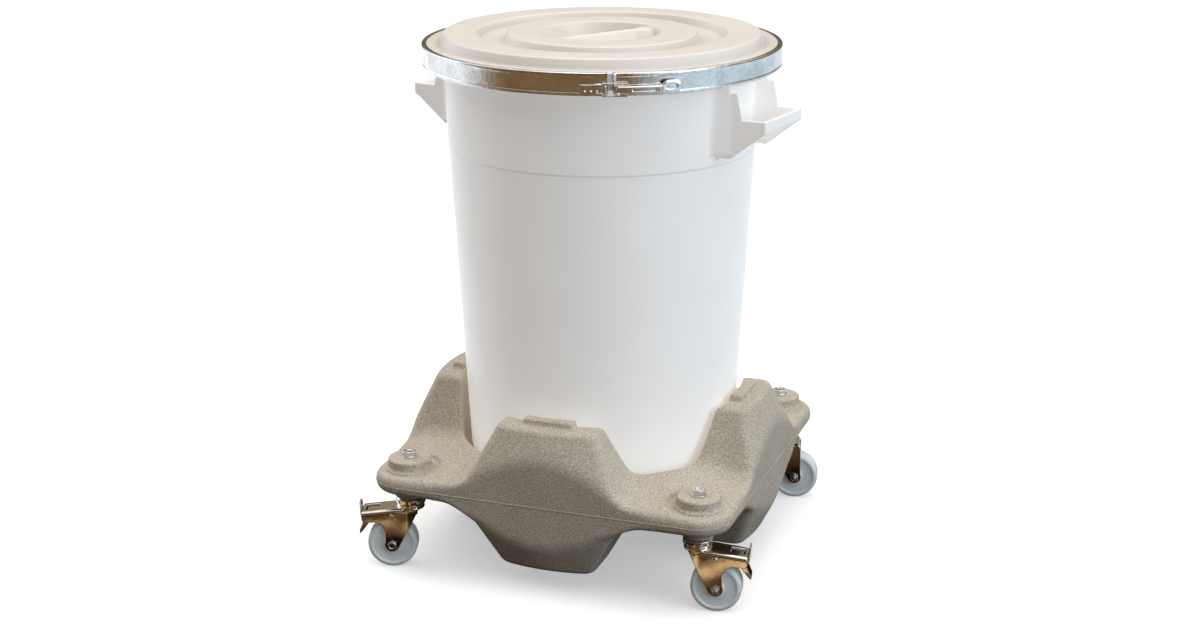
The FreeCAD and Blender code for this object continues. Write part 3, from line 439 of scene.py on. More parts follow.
def granite_plastic():
    """Matte rotational moulding: grey-beige with fine dark and light grains."""
    look = new_look(GRANITE)
    ground = look.ramp(look.noise(60), (0.3, (0.54, 0.475, 0.38)), (0.7, (0.60, 0.535, 0.435)))
    blotch = look.noise(2.4, detail=4, roughness=0.75)
    mottle = look.ramp(blotch, (0.32, 0.62), (0.5, 1.0), (0.68, 1.38))
    ground = look.mix(1.0, ground, mottle, "MULTIPLY")
    ground = look.mix(look.ramp(look.cells(2.3), (0.16, 1.0), (0.3, 0.0)), ground, (0.13, 0.11, 0.09))
    ground = look.mix(look.ramp(look.cells(3.4), (0.15, 1.0), (0.27, 0.0)), ground, (0.88, 0.83, 0.73))
    look.set("Base Color", ground)
    look.set("Roughness", look.ramp(look.noise(5, detail=4), (0.3, 0.55), (0.7, 0.72)))
    look.set("Specular IOR Level", 0.4)
    look.bump(look.noise(30, detail=2), 0.6, 0.5)
    look.bump(look.noise(1.3, detail=4, roughness=0.7), 0.16, 0.7)


def galvanised():
    """Bright zinc coat: smooth metal with a fine crystal spangle and soft streaks."""
    look = new_look(GALVANISED)
    look.set("Metallic", 1.0)
    shade = look.ramp(look.cells(4.5, output="Color"), (0.2, 0.68), (0.8, 0.80))
    cloud = look.noise(26, detail=4, roughness=0.6)
    stain = look.ramp(cloud, (0.35, (0.84, 0.81, 0.77)), (0.6, 1.0))
    look.set("Base Color", look.mix(1.0, shade, stain, "MULTIPLY"))
    look.set("Roughness", look.ramp(look.noise(5, detail=5, roughness=0.7), (0.3, 0.10), (0.7, 0.22)))
    look.bump(look.cells(3.5, output="Color"), 0.04, 0.6)
    look.bump(look.noise(11), 0.8, 0.6)


def bright_plate(name, shade, rough):
    """Bright zinc or nickel plating on pressed steel, with drawing marks and smears."""
    look = new_look(name)
    look.set("Metallic", 1.0)
    dull = tuple(value * 0.8 for value in shade)
    look.set("Base Color", look.ramp(look.noise(14, detail=4), (0.3, dull), (0.65, shade)))
    look.set("Roughness", look.ramp(look.noise(4, detail=5, roughness=0.7), (0.3, rough[0]), (0.7, rough[1])))
    look.bump(look.noise(11, detail=2), 0.24, 0.5)
    look.bump(look.noise(0.9), 0.02, 0.4)


def nylon():
    """Cloudy off-white nylon, slightly see-through, with a faint painted glow."""
    look = new_look(NYLON)
    tint = look.ramp(look.noise(12), (0.3, (0.72, 0.77, 0.77)), (0.7, (0.80, 0.84, 0.84)))
    look.set("Base Color", tint)
    # Painted glow: the nylon emits a little of its own colour, though it is no lamp.
    look.set("Emission Color", tint)
    look.set("Emission Strength", 0.08)
    look.set("Roughness", look.ramp(look.noise(3, detail=6, roughness=0.7), (0.3, 0.28), (0.7, 0.40)))
    look.set("Subsurface Weight", 0.4)
    look.set("Subsurface Radius", (0.9, 1.0, 1.0))
    look.set("Subsurface Scale", 4 * MM)
    look.bump(look.noise(1.2), 0.03, 0.5)


def rubber():
    """Matte black rubber with a fine bloom."""
    look = new_look(RUBBER)
    bloom = look.noise(3, detail=5)
    look.set("Base Color", look.ramp(bloom, (0.3, 0.018), (0.75, 0.05)))
    look.set("Roughness", look.ramp(bloom, (0.3, 0.55), (0.75, 0.8)))
    look.bump(look.noise(0.8), 0.03)


def finish_cad_nodes():
    """Give every CAD node that stays visible its material."""
    slots = {part["node"]: part["material_slot"] for part in frame["record"]["subparts"]}
    for name, node in frame["nodes"].items():
        node.data.materials.clear()
        node.data.materials.append(LOOKS[slots[name]])


# ---- dolly


DOLLY = Sizes(
    half=295, corner=55, foot=33, tower=268, tower_half=80, foot_half=75, run=0.51,
    upper_arch=226, lower_arch=82, pad=166, underside=130, saddle=188, saddle_reach=330,
    well=231, well_floor=145, foot_inner=208, bolt=240.8, boss=34, boss_top=185,
    spotface=49, spotface_floor=167.5, seat_top=33, seat_end=24.5, seat_floor=120,
    rim_lift=5, sag=17, sag_across=(105, 165), sag_out=(225, 275), hole=6.6,
    step_half=41, step_radius=252, step_rise=10, drain=20, parting=150,
)


def dolly_field(p):
    """The dolly: a rounded square with towers, feet, saddles between them and a round well."""
    d = DOLLY
    x, y, z = np.abs(p[..., 0]), np.abs(p[..., 1]), p[..., 2]
    radius = np.hypot(x, y)
    out, lateral = np.maximum(x, y), np.minimum(x, y)
    square = box_2d(x, y, d.half, d.half, d.corner)
    cone_size = math.hypot(2, 1)
    over_cone = (2 * (radius - d.half) + z - d.upper_arch) / cone_size
    under_cone = (2 * (radius - d.half) + d.lower_arch - z) / cone_size
    flank_size = math.hypot(1, d.run)
    upper_flank = (lateral - d.tower_half - d.run * (d.tower - z)) / flank_size
    lower_flank = (lateral - d.foot_half - d.run * (z - d.foot)) / flank_size

    tower = both(over_cone, upper_flank, 11)
    tower = both(tower, z - d.tower, 6)
    tower = np.maximum(tower, d.parting - z)
    foot_inside = (d.foot_inner - 0.46 * (z - d.foot) - radius) / math.hypot(1, 0.46)
    foot = both(under_cone, lower_flank, 11)
    foot = both(both(foot, d.foot - z, 11), foot_inside, 12)
    foot = np.maximum(foot, z - d.pad + 12)

    sag = np.interp(lateral, d.sag_across, [1, 0]) * np.interp(out, d.sag_out, [0, 1])
    underside = d.underside + d.rim_lift - d.sag * sag * sag * (3 - 2 * sag)
    fall = (d.saddle - d.pad) / (d.saddle_reach - d.well)
    saddle = d.saddle - fall * (radius - d.well)
    plate_top = either(z - saddle, z - d.pad, 14)
    plate = np.maximum(plate_top, underside - z)
    shape = either(plate, tower, 17)
    shape = either(shape, foot, 13)
    shape = both(square, shape, np.interp(lateral, [120, 190], [6, 15]))

    from_bolt = np.hypot(x - d.bolt, y - d.bolt)
    spot = both(from_bolt - d.spotface, d.spotface_floor - z, 4)
    shape = both(shape, -spot, 5)
    step = both(lateral - d.step_half, out - d.step_radius, 4)
    step = both(step, z - d.tower - d.step_rise, 4)
    step = np.maximum(step, d.tower - 14 - z)
    shape = either(shape, step, 3)
    well = both(radius - d.well, d.well_floor - z, 10)
    shape = both(shape, -well, 9)
    return both(shape, d.drain - radius, 4)


def boss_and_seat():
    """The boss over a castor and the seat below it."""
    d = DOLLY
    boss = [(d.hole, d.boss_top - 30, 0), (d.boss + 6, d.boss_top - 30, 0),
            (d.boss + 5, d.pad + 1.5, 0), (d.boss + 0.6, d.pad + 5, 5),
            (d.boss, d.boss_top, 3.5), (d.hole, d.boss_top, 0.6)]
    seat = [(d.hole, d.seat_floor, 0), (d.seat_end, d.seat_floor, 1),
            (d.seat_end + 1.6, d.seat_floor + 4, 6), (d.seat_top, d.underside + 3, 6),
            (d.seat_top + 8, d.underside + 8, 0), (d.hole, d.underside + 8, 0)]
    return merge(turned(boss, 72, 4), turned(seat, 72, 4))


def parting_bead():
    """The thin bead that the mould's joint leaves round the side."""
    half, corner, z = DOLLY.half, DOLLY.corner, DOLLY.parting
    square = [(x, y, corner) for x, y in ((half, -half), (half, half), (-half, half), (-half, -half))]
    path = refine(rounded_path(square, steps=12), 12)
    ahead = np.roll(path, -1, axis=0) - np.roll(path, 1, axis=0)
    ahead /= np.linalg.norm(ahead, axis=1)[:, None]
    outward = np.stack([ahead[:, 1], -ahead[:, 0]], axis=1)
    section = [(-1.2, 2.0), (-0.2, 1.5), (0.5, 0.6), (0.5, -0.6), (-0.2, -1.5), (-1.2, -2.0)]
    points = np.array([(*(place + proud * out), z + up) for place, out in zip(path, outward)
                       for proud, up in section])
    faces = sweep_faces(len(section), len(section), len(path), len(path))
    return points, [face[::-1] for face in faces]


def dolly():
    """The moulded dolly: body, parting line, and a boss and a seat at each castor."""
    low, high = mm_box("dolly_body")
    shell = field_shell(dolly_field, low - 8, high + 8, cell_size(3.0))
    sides = (-DOLLY.bolt, DOLLY.bolt)
    corners = [moved(boss_and_seat(), (x, y, 0)) for x in sides for y in sides]
    add_mesh("dolly_moulding", merge(shell, parting_bead(), *corners), GRANITE, "dolly", "dolly_body")


# ---- bucket


BUCKET = Sizes(
    base=145, bottom=215.6, foot_round=22, step_z=665, step_low=243.1, step_high=244.6,
    root=249, brim=276, brim_top=817, lip=803, wall=3.5, turn=-10.9,
    half_length=63.3, reach=317, web=4, grip=4.5, grip_top=740, grip_bottom=723.5,
)


def bucket_wall_radius(z):
    """The bucket's outer radius at a height."""
    b = BUCKET
    heights = [b.base, b.step_z - 2, b.step_z + 2, b.brim_top - b.wall]
    return np.interp(z, heights, [b.bottom, b.step_low, b.step_high, b.root])


def bucket_shell():
    """The bucket's wall: rounded foot, moulding step and turned-down brim."""
    b = BUCKET
    wall = b.wall
    corners = [
        (0.01, b.base + 3, 0), (150, b.base + 3, 3), (156, b.base, 3),
        (b.bottom, b.base, b.foot_round), (b.step_low, b.step_z - 1.6, 1),
        (b.step_high, b.step_z + 1.6, 1), (b.root, b.brim_top - wall, 3),
        (b.brim - wall, b.brim_top - wall, 2), (b.brim - wall, b.lip, 1.2), (b.brim, b.lip, 1.2),
        (b.brim, b.brim_top, 2.5), (b.root - wall, b.brim_top, 2.5),
        (b.step_low - wall, b.step_z, 10), (b.bottom - wall + 1.2, b.base + wall + 3, 19),
        (0.01, b.base + wall + 3, 0),
    ]
    return turned(corners, 256, 26, closed=False)


def handle_field(p):
    """A side handle: two webs and a grip, filleted into the wall and cut off inside it."""
    b = BUCKET
    x, y, z = np.moveaxis(p, -1, 0)
    across = np.abs(y)
    web_outline = [
        (200, 678), (259.5, 678), (b.reach, b.grip_bottom), (b.reach, b.grip_top),
        (279.5, b.grip_top), (270, 779), (256.5, 779), (256.5, 812), (200, 812),
    ]
    middle = b.half_length - b.web / 2
    web = both(polygon_2d(x, z, web_outline), np.abs(across - middle) - b.web / 2, 1.6)
    root_width = np.clip((262 - x) * 0.45, 0, 12)
    root_outline = [(200, 684), (262, 684), (262, 745), (256, 812), (200, 812)]
    root = both(polygon_2d(x, z, root_outline), np.abs(across - middle) - b.web / 2 - root_width, 3) * 0.8
    web = either(web, root, 1.5)
    grip_outline = [
        (b.reach - b.grip, b.grip_bottom - 3), (b.reach, b.grip_bottom),
        (b.reach, b.grip_top), (b.reach - b.grip, b.grip_top),
    ]
    grip = both(polygon_2d(x, z, grip_outline), across - b.half_length, 2)
    shape = either(web, grip, 3)
    from_wall = np.hypot(x, y) - bucket_wall_radius(z)
    patch = np.maximum(from_wall + 0.25, np.maximum(across - 92, slab(z, 655, 813)))
    shape = np.maximum(either(shape, patch, 5), shape - 6)
    return np.maximum(shape, -from_wall - 2.4)


def bucket():
    """The bucket: its wall and both handles."""
    handle = field_shell(handle_field, (228, -98, 650), (322, 98, 818), cell_size(1.25))
    whole = merge(bucket_shell(), handle, moved(handle, turn=180))
    add_mesh("bucket_moulding", moved(whole, turn=BUCKET.turn), WHITE, "bucket", "bucket")


# ---- lid


LID = Sizes(
    rim_top=826.3, rim_bottom=822, radius=281, skirt=4, skirt_bottom=801, crown=842,
    wall=3.5, recess_z=817, groove_z=829, turn=56,
)


def lid_shell():
    """The lid: skirted rim, two raised rings, a groove and the central recess."""
    d = LID
    wall = d.wall
    outside = [
        (0.01, d.recess_z, 0), (88, d.recess_z, 4), (92.5, d.crown, 3), (149, d.crown, 4),
        (154, d.groove_z, 4), (191, d.groove_z, 4), (196, d.crown, 4), (249.5, d.crown, 5),
        (256, d.rim_top, 4), (d.radius, d.rim_top, 2), (d.radius, d.skirt_bottom, 1.4),
        (d.radius - d.skirt, d.skirt_bottom, 1.4), (d.radius - d.skirt, d.rim_bottom, 1),
        (252.5, d.rim_bottom, 3), (247, d.crown - wall, 3), (199, d.crown - wall, 3),
        (194, d.groove_z - wall, 3), (151, d.groove_z - wall, 3), (146, d.crown - wall, 3),
        (96, d.crown - wall, 3), (91.5, d.recess_z - wall, 3), (0.01, d.recess_z - wall, 0),
    ]
    return turned(outside, 256, 14, closed=False)


def bar_field(p):
    """The grip bar across the recess, flaring into its wall at both ends."""
    d = LID
    x, y, z = np.abs(p[..., 0]), np.abs(p[..., 1]), p[..., 2]
    flare = np.clip((x - 62) / 30, 0, 1)
    rise = np.clip((d.crown - 3 - z) / 22, 0, 1)
    half_width = 4.5 + 7.5 * rise + flare * (10 + 14 * rise)
    ridge = (y - half_width) * 0.85
    ridge = both(ridge, z - d.crown + 3, 4)
    ridge = np.maximum(ridge, d.recess_z - 2.5 - z)
    return np.maximum(ridge, x - 94.5 + 0.12 * (z - d.recess_z))


def lid():
    """The lid, and the seal below its rim."""
    bar = field_shell(bar_field, (-98, -44, 812), (98, 44, 844), cell_size(1.4))
    add_mesh("lid_moulding", merge(lid_shell(), moved(bar, turn=LID.turn)), CREAM, "lid", "lid")
    low, high = mm_box("lid_seal")
    inner, outer = 258, 268
    corners = [(inner, low[2], 1.2), (outer, low[2], 1.2), (outer, high[2], 1.2), (inner, high[2], 1.2)]
    add_mesh("lid_seal_ring", turned(corners, 192), RUBBER, "lid", "lid_seal")


# ---- clamp ring and lock


CLAMP = Sizes(
    turn=22, radius=283, wall=1.1, top=827.5, bottom=793, top_reach=275, bottom_reach=277,
    gap=8, bend=60, lock_z=803.5, ear=1.3, pivot=(10, 289), link=(24, 287.3),
    catch_across=-11.2, wire=1.2, lever_height=11, lever_in=285, lever_out=292.5,
    lever_sweep=20.5, thumb_height=18, pin_hole=2.05, link_gap=0.1, sheet=1.3, eye=4.2,
    bracket_eye=4.6, plate_half=7.1,
)


def band_shell():
    """The clamp ring: a thin U-section with rolled edges, open at the lock."""
    d = CLAMP
    outer, inner = d.radius, d.radius - d.wall
    top, bottom, wall = d.top, d.bottom, d.wall
    corners = [
        (d.top_reach, top - wall, 0.5), (inner, top - wall, 1.6), (inner, top - 5.4, 1),
        (inner - 0.7, top - 6.6, 1), (inner - 0.7, bottom + 5.6, 1), (inner, bottom + 4.4, 1),
        (inner, bottom + wall, 1.2), (d.bottom_reach, bottom + wall, 0.5),
        (d.bottom_reach, bottom, 0.5), (outer, bottom, 2.3), (outer, bottom + 4.4, 1),
        (outer - 0.7, bottom + 5.6, 1), (outer - 0.7, top - 6.6, 1), (outer, top - 5.4, 1),
        (outer, top, 2.6), (d.top_reach, top, 0.5),
    ]
    path = refine(rounded_path(corners, steps=4), 3)
    end = d.gap / 2 / outer
    return moved(lathe(path, 300, sweep=(end - math.pi / 2, 1.5 * math.pi - end)), turn=d.turn)


def lock_coordinates(p):
    """Arc to the right of the lock, radius, height, and straight distances right and forward."""
    x, y, z = np.moveaxis(p, -1, 0)
    angle = math.radians(CLAMP.turn - 90)
    c, s = math.cos(angle), math.sin(angle)
    forward, right = x * c + y * s, y * c - x * s
    radius = np.hypot(forward, right)
    return np.arctan2(right, forward) * radius, radius, z, right, forward


def capsule(points, start, stop, radius):
    """Distance to a round-ended rod between two points."""
    line = stop - start
    along = np.clip(((points - start) @ line) / (line @ line), 0, 1)
    return np.linalg.norm(points - start - along[..., None] * line, axis=-1) - radius


def lever_field(p):
    """The lever: a channel round its two pins, a long bead on its face and a wider thumb tab."""
    d = CLAMP
    arc, radius, z, right, forward = lock_coordinates(p)
    from_pivot, from_link = (np.hypot(right - across, forward - out) for across, out in (d.pivot, d.link))
    up = z - d.lock_z
    half = d.lever_height / 2
    length = math.radians(d.lever_sweep) * d.lever_out
    middle = (d.lever_in + d.lever_out) / 2
    depth = (d.lever_out - d.lever_in) / 2
    block = box_2d(up, radius - middle, half, depth, 2.2)
    hollow = box_2d(up, radius - middle + d.sheet + 3, half - d.sheet, depth + 3, 1.2)
    channel = both(block, -hollow, 0.5)
    thumb_start = length - 34
    channel = both(channel, slab(arc, d.pivot[0] - 1.5, thumb_start + 8), 1.5)
    cheeks = slab(np.abs(up), half - d.sheet, half)
    channel = either(channel, both(from_pivot - d.eye, cheeks, 0.4), 0.8)
    bead = np.hypot(np.maximum(np.abs(arc - length * 0.47) - 16, 0), up) - 2.1
    channel = both(channel, -both(bead, d.lever_out - 0.55 - radius, 0.5), 0.6)

    swell = np.clip((arc - thumb_start) / 14, 0, 1)
    swell = swell * swell * (3 - 2 * swell)
    rise = (d.thumb_height / 2 - half) * swell
    up = up - rise
    half = half + rise
    dome = radius - d.lever_out - 0.6 * swell + (up / half) ** 2 * 1.3
    shell = np.maximum(dome, d.lever_out - 2.2 - radius)
    outline = box_2d(arc - (thumb_start + length) / 2, up, (length - thumb_start) / 2, half, 5.5)
    thumb = both(shell, outline, 1.2)
    dimple = np.hypot((arc - length + 15) / 2, up) - 4.6
    thumb = both(thumb, -both(dimple, d.lever_out - 0.1 - radius, 1.0), 1.6)
    shape = either(channel, thumb, 1.5)
    return np.maximum(shape, -np.minimum(from_link - d.wire - d.link_gap, from_pivot - d.pin_hole))


def to_lock(across, radius, z):
    """A point given in the lock's own directions, in the object's frame."""
    return place_points([(across, -radius, z)], turn=CLAMP.turn)[0]


def link_field(p):
    """The wire link: a round-cornered loop of wire."""
    d = CLAMP
    reach = d.lever_height / 2 + 3.8
    right, radius = d.link
    (a, b), (c, e) = [[to_lock(across, radius, d.lock_z + up) for up in (-reach, reach)]
                      for across in (d.catch_across, right)]
    shape = capsule(p, a, c, d.wire)
    for start, stop in ((b, e), (a, b), (c, e)):
        shape = either(shape, capsule(p, start, stop, d.wire), 0.6)
    return shape


def catch_field(p):
    """The catch: a plate with three weld nuggets, a rolled tapering edge, a gusset and an ear."""
    d = CLAMP
    arc, radius, z, *_ = lock_coordinates(p)
    up, proud, half = z - d.lock_z, radius - d.radius, d.plate_half
    behind = -0.4 - proud
    plate = both(box_2d(arc + 24.5, up, 19.5, half, 2.5), slab(proud, -0.6, 1.1), 0.6)
    for across in (-38, -29, -20):
        dome = np.sqrt((arc - across) ** 2 + (up + 3) ** 2 + proud ** 2) - 2.3
        plate = either(plate, dome, 0.8)
    taper = np.interp(arc, [-44, -27, -24, -14, -13], [1.1, 1.1, 1.6, 2.9, 2.2])
    rod = both(np.hypot(proud - 1.4, up - half + 1.2) - taper, slab(arc, -44.5, -13), 0.8)
    plate = either(plate, rod, 0.8)
    ear = both(slab(arc, -8.6, -6.4), box_2d(proud - 3.6, up, 5, half, 3), 0.5)
    plate = either(plate, np.maximum(ear, behind), 1.2)
    lean = proud - 0.42 * (arc + 8) - 7.4
    gusset = both(both(lean, np.abs(up + half - 1) - 0.8, 0.4), slab(arc, -24, -7), 0.5)
    return either(plate, np.maximum(gusset, behind), 1.0)


def lever_bracket_field(p):
    """The lever's bracket: a plate on the ring with an ear above and an ear below the lever."""
    d = CLAMP
    arc, radius, z, right, forward = lock_coordinates(p)
    right, forward = right - d.pivot[0], forward - d.pivot[1]
    up, proud = z - d.lock_z, radius - d.radius
    half = d.lever_height / 2 + 0.15
    outer_half = half + d.ear
    plate = both(box_2d(arc - 12, up, 7.5, outer_half, 1.5), slab(proud, -0.6, 1.1), 0.5)
    ear = np.maximum(np.hypot(right, np.maximum(forward, 0)) - d.bracket_eye, -0.4 - proud)
    ears = both(ear, slab(np.abs(up), half, outer_half), 0.4)
    return np.maximum(either(plate, ears, 1.0), d.pin_hole - np.hypot(right, forward))


def lever_pin_shell():
    """The lever's pin with a domed head at each end."""
    low, high = mm_box("lever_pin")
    head, shank = 3.2, 2.0
    corners = [
        (0.01, low[2], 0), (head - 0.6, low[2], 1), (head, low[2] + 0.8, 0.3),
        (shank, low[2] + 0.9, 0), (shank, high[2] - 0.9, 0), (head, high[2] - 0.8, 0.3),
        (head - 0.6, high[2], 1), (0.01, high[2], 0),
    ]
    return moved(turned(corners, 32, closed=False), to_lock(*CLAMP.pivot, 0))


def lock_piece(name, field, node, cell, look, body):
    """One piece of the lock, from a field round its CAD node."""
    low, high = mm_box(node)
    add_mesh(name, field_shell(field, low - 3, high + 3, cell), look, body, node)


def clamp():
    """The clamp ring, which bends at the back on the real thing but is made here as one still piece, and the
    pieces of its lock.
    """
    fine = cell_size(0.5)
    ring = add_mesh("clamp_band", band_shell(), GALVANISED, None, "band_right", "band_left")
    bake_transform(ring)
    lock_piece("lever_channel", lever_field, "clamp_lever", fine, LOCK_STEEL, "lever")
    lock_piece("link_wire", link_field, "clamp_link", fine * 0.8, LOCK_STEEL, "link")
    lock_piece("catch_plate", catch_field, "catch_bracket", fine, GALVANISED, "clamp_left")
    lock_piece("lever_ears", lever_bracket_field, "lever_bracket", fine, GALVANISED, "lid")
    add_mesh("lever_rivet", lever_pin_shell(), LOCK_STEEL, "lid", "lever_pin")


# ---- castors


CASTOR = Sizes(
    inside=19.6, sheet=2.6, crown=102, crown_radius=21.5, lip=2, lip_top=107.3, head=23.5,
    top=120, trail=30, axle_z=40, wheel=40, wheel_half=17, hub_half=19.3, leg_end=11.5,
    bend=24, arm=78, arm_top=95.5, arm_bottom=79, pin=(29, 90), pin_radius=3,
    slot=(51.5, 73, 11), axle_radius=4, sleeve=6, sleeve_outer=9, pedal_half=14, hole_gap=0.05,
)
CORNERS = ("front_left", "front_right", "rear_left", "rear_right")


def cheek_outline(braked):
    """The fork's side outline: distance behind the swivel axis, and height."""
    d = CASTOR
    trail, axle, end = d.trail, d.axle_z, d.leg_end
    outline = [(-13, d.crown), (-12, d.crown - 6), (trail - end - 0.5, axle - 3), (trail - 5, axle - 9),
               (trail + 5, axle - 9), (trail + end, axle), (trail + end - 1, axle + 4)]
    if braked:
        outline += [(trail + 10, 64), (trail + 14, 73), (trail + 23.5, 79), (d.arm - 3, d.arm_bottom - 1),
                    (d.arm, d.arm_bottom + 4), (d.arm, d.arm_top), (d.bend, d.crown)]
    else:
        outline += [(trail + 9.5, 94), (trail + 6, d.crown)]
    return outline


def fork_field(braked):
    """The fork in the castor's own frame, with or without the brake's arm."""
    d = CASTOR
    slope = (d.crown - d.arm_top) / (d.arm - d.bend)

    def field(p):
        x, y, z = p[..., 0], np.abs(p[..., 1]), p[..., 2]
        side = polygon_2d(x, z, cheek_outline(braked))
        leg = np.hypot(x - d.trail, z - d.axle_z) - d.leg_end
        side = either(side, leg, 2)
        wrap = 0.011 * np.maximum(8 - x, 0) ** 2 * np.clip((z - 38) / 30, 0, 1)
        outer_y = y + wrap - d.inside - d.sheet
        inner_y = y + wrap - d.inside
        roof = z - d.crown
        if braked:
            roof = np.maximum(roof, (z - d.crown + slope * (x - d.bend)) / math.hypot(1, slope))
        solid = both(side, both(outer_y, roof, 6.5), 0.8)
        room = both(inner_y, roof + d.sheet, 3.5)
        shape = both(solid, -room, 0.5)
        radius = np.hypot(x, y)
        ring = box_2d(radius - d.crown_radius + d.lip / 2, z - (d.crown + d.lip_top) / 2 + 1,
                      d.lip / 2, (d.lip_top - d.crown) / 2 + 1, 0.9)
        disc = box_2d(radius, z - d.crown + d.sheet / 2, d.crown_radius, d.sheet / 2, 1.2)
        shape = either(shape, disc, 3)
        shape = either(shape, ring, 1.5)
        race = np.maximum(radius - d.crown_radius + d.lip, d.crown - z)
        shape = both(shape, -race, 0.6)
        shape = np.maximum(shape, d.sleeve_outer + 0.1 - radius)
        bolt = np.hypot(x - d.trail, z - d.axle_z) - d.axle_radius - d.hole_gap
        shape = np.maximum(shape, -bolt)
        if braked:
            near, far, half = d.slot
            slot = np.maximum(box_2d(x - (near + far) / 2, y, (far - near) / 2, half, 2.5), 86 - z)
            shape = both(shape, -slot, 0.8)
            pin = np.hypot(x - d.pin[0], z - d.pin[1]) - d.pin_radius - d.hole_gap
            shape = np.maximum(shape, -pin)
        return shape

    return field


def pedal_field(p):
    """The brake pedal: a plate on its pin, with an upturned tab and a turned-down toe."""
    d = CASTOR
    x, y, z = p[..., 0], np.abs(p[..., 1]), p[..., 2]
    px, pz = d.pin
    end = d.arm
    plate = [(px - 3, pz - 2.9), (end - 3.3, 81.4), (end + 0.6, 85.2), (px - 1, pz)]
    tab = [(end - 3.3, 81.6), (end + 2, 84), (end + 4.4, 108.5), (end + 1.8, 108.5), (end + 0.4, 87)]
    toe = [(end - 15, 80.5), (end - 4, 80.5), (end + 5.5, 60), (end + 5, 53.5), (end + 1, 58)]
    tab_half = d.pedal_half - np.clip((z - 90) / 18, 0, 1) * 5
    toe_half = d.pedal_half - 1 - np.clip((68 - z) / 14, 0, 1) * 4
    shape = both(polygon_2d(x, z, plate), y - d.pedal_half, 1.6)
    shape = either(shape, both(polygon_2d(x, z, tab), y - tab_half, 1.2), 2)
    shape = either(shape, both(polygon_2d(x, z, toe), y - toe_half, 1.2), 2)
    from_pin = np.hypot(x - px, z - pz)
    eye = both(from_pin - d.pin_radius - 2.6, y - d.inside + 0.4, 1.2)
    shape = either(shape, eye, 2)
    return np.maximum(shape, d.pin_radius + 0.08 - from_pin)


def wheel_shell():
    """The wheel, its axis taken as Z: crowned tread, rim ring, dished face and hub."""
    d = CASTOR
    half, hub = d.wheel_half, d.hub_half
    one_face = [
        (d.wheel, half - 7, 0), (d.wheel - 0.8, half - 2.4, 4), (d.wheel - 5, half, 3),
        (d.wheel - 7.5, half - 0.3, 1.5), (d.wheel - 9, half - 2.2, 1.5), (22, half - 3, 3),
        (13, half - 2.8, 4), (10.5, hub, 1.2), (d.sleeve + 0.1, hub, 0.6),
    ]
    return turned([(r, -z, q) for r, z, q in one_face] + one_face[::-1], 96, 4)


def head_shell():
    """The castor head: a pressed cup with a rolled rim, and its sleeve."""
    d = CASTOR
    race = mm_box("swivel_balls")[1][2] + 0.05
    low = mm_box("castor_heads")[0][2]
    corners = [
        (6.05, low, 0), (d.sleeve_outer, low, 0.4), (d.sleeve_outer, race, 0.5),
        (d.head - 0.8, race, 0.5), (d.head, race + 1, 0.8), (d.head, d.top - 4.2, 1.6),
        (d.head - 3.6, d.top - 0.4, 1.2), (d.head - 4.6, d.top, 0.5), (6.05, d.top, 0),
    ]
    return turned(corners, 72, 4)


def hexagon_field(across_flats, low, high, bore=0.0, dish=0.0):
    """A hexagonal nut or bolt head along Z, chamfered, with a bore or a dished top."""
    def field(p):
        x, y, z = np.moveaxis(p, -1, 0)
        flats = np.full(x.shape, -np.inf)
        for i in range(3):
            angle = math.radians(60 * i)
            flats = np.maximum(flats, np.abs(x * math.cos(angle) + y * math.sin(angle)) - across_flats / 2)
        radius = np.hypot(x, y)
        chamfer = (radius - across_flats * 0.5 + (z - high) * 1.6) / 1.9
        shape = both(both(flats, slab(z, low, high), 0.5), chamfer, 0.5)
        if bore:
            shape = np.maximum(shape, bore - radius)
        if dish:
            cup = both(radius - across_flats * 0.3, high - dish - z, 0.5)
            shape = both(shape, -cup, 0.6)
        return shape
    return field


def washer_shell(inner, outer, low, high):
    """A flat washer with softened edges."""
    corners = [(inner, low, 0.3), (outer, low, 0.5), (outer, high, 0.6), (inner, high, 0.3)]
    return lathe(rounded_path(corners, steps=3), 48)


def along_axle(shell, distance=0.0):
    """A shell made about Z laid along the axle, its own +Z towards the castor's -Y."""
    x, y, z = shell[0].T
    return np.stack([x + CASTOR.trail, -z - distance, y + CASTOR.axle_z], axis=1), shell[1]


def corner_place(corner):
    """A castor's swivel axis and its trail's direction in degrees."""
    swivel = np.array(JOINTS[f"swivel_{corner}"]["pos_m"]) / MM
    axle = np.array(JOINTS[f"wheel_spin_{corner}"]["pos_m"]) / MM
    trail = axle - swivel
    return np.array([swivel[0], swivel[1], 0]), math.degrees(math.atan2(trail[1], trail[0]))


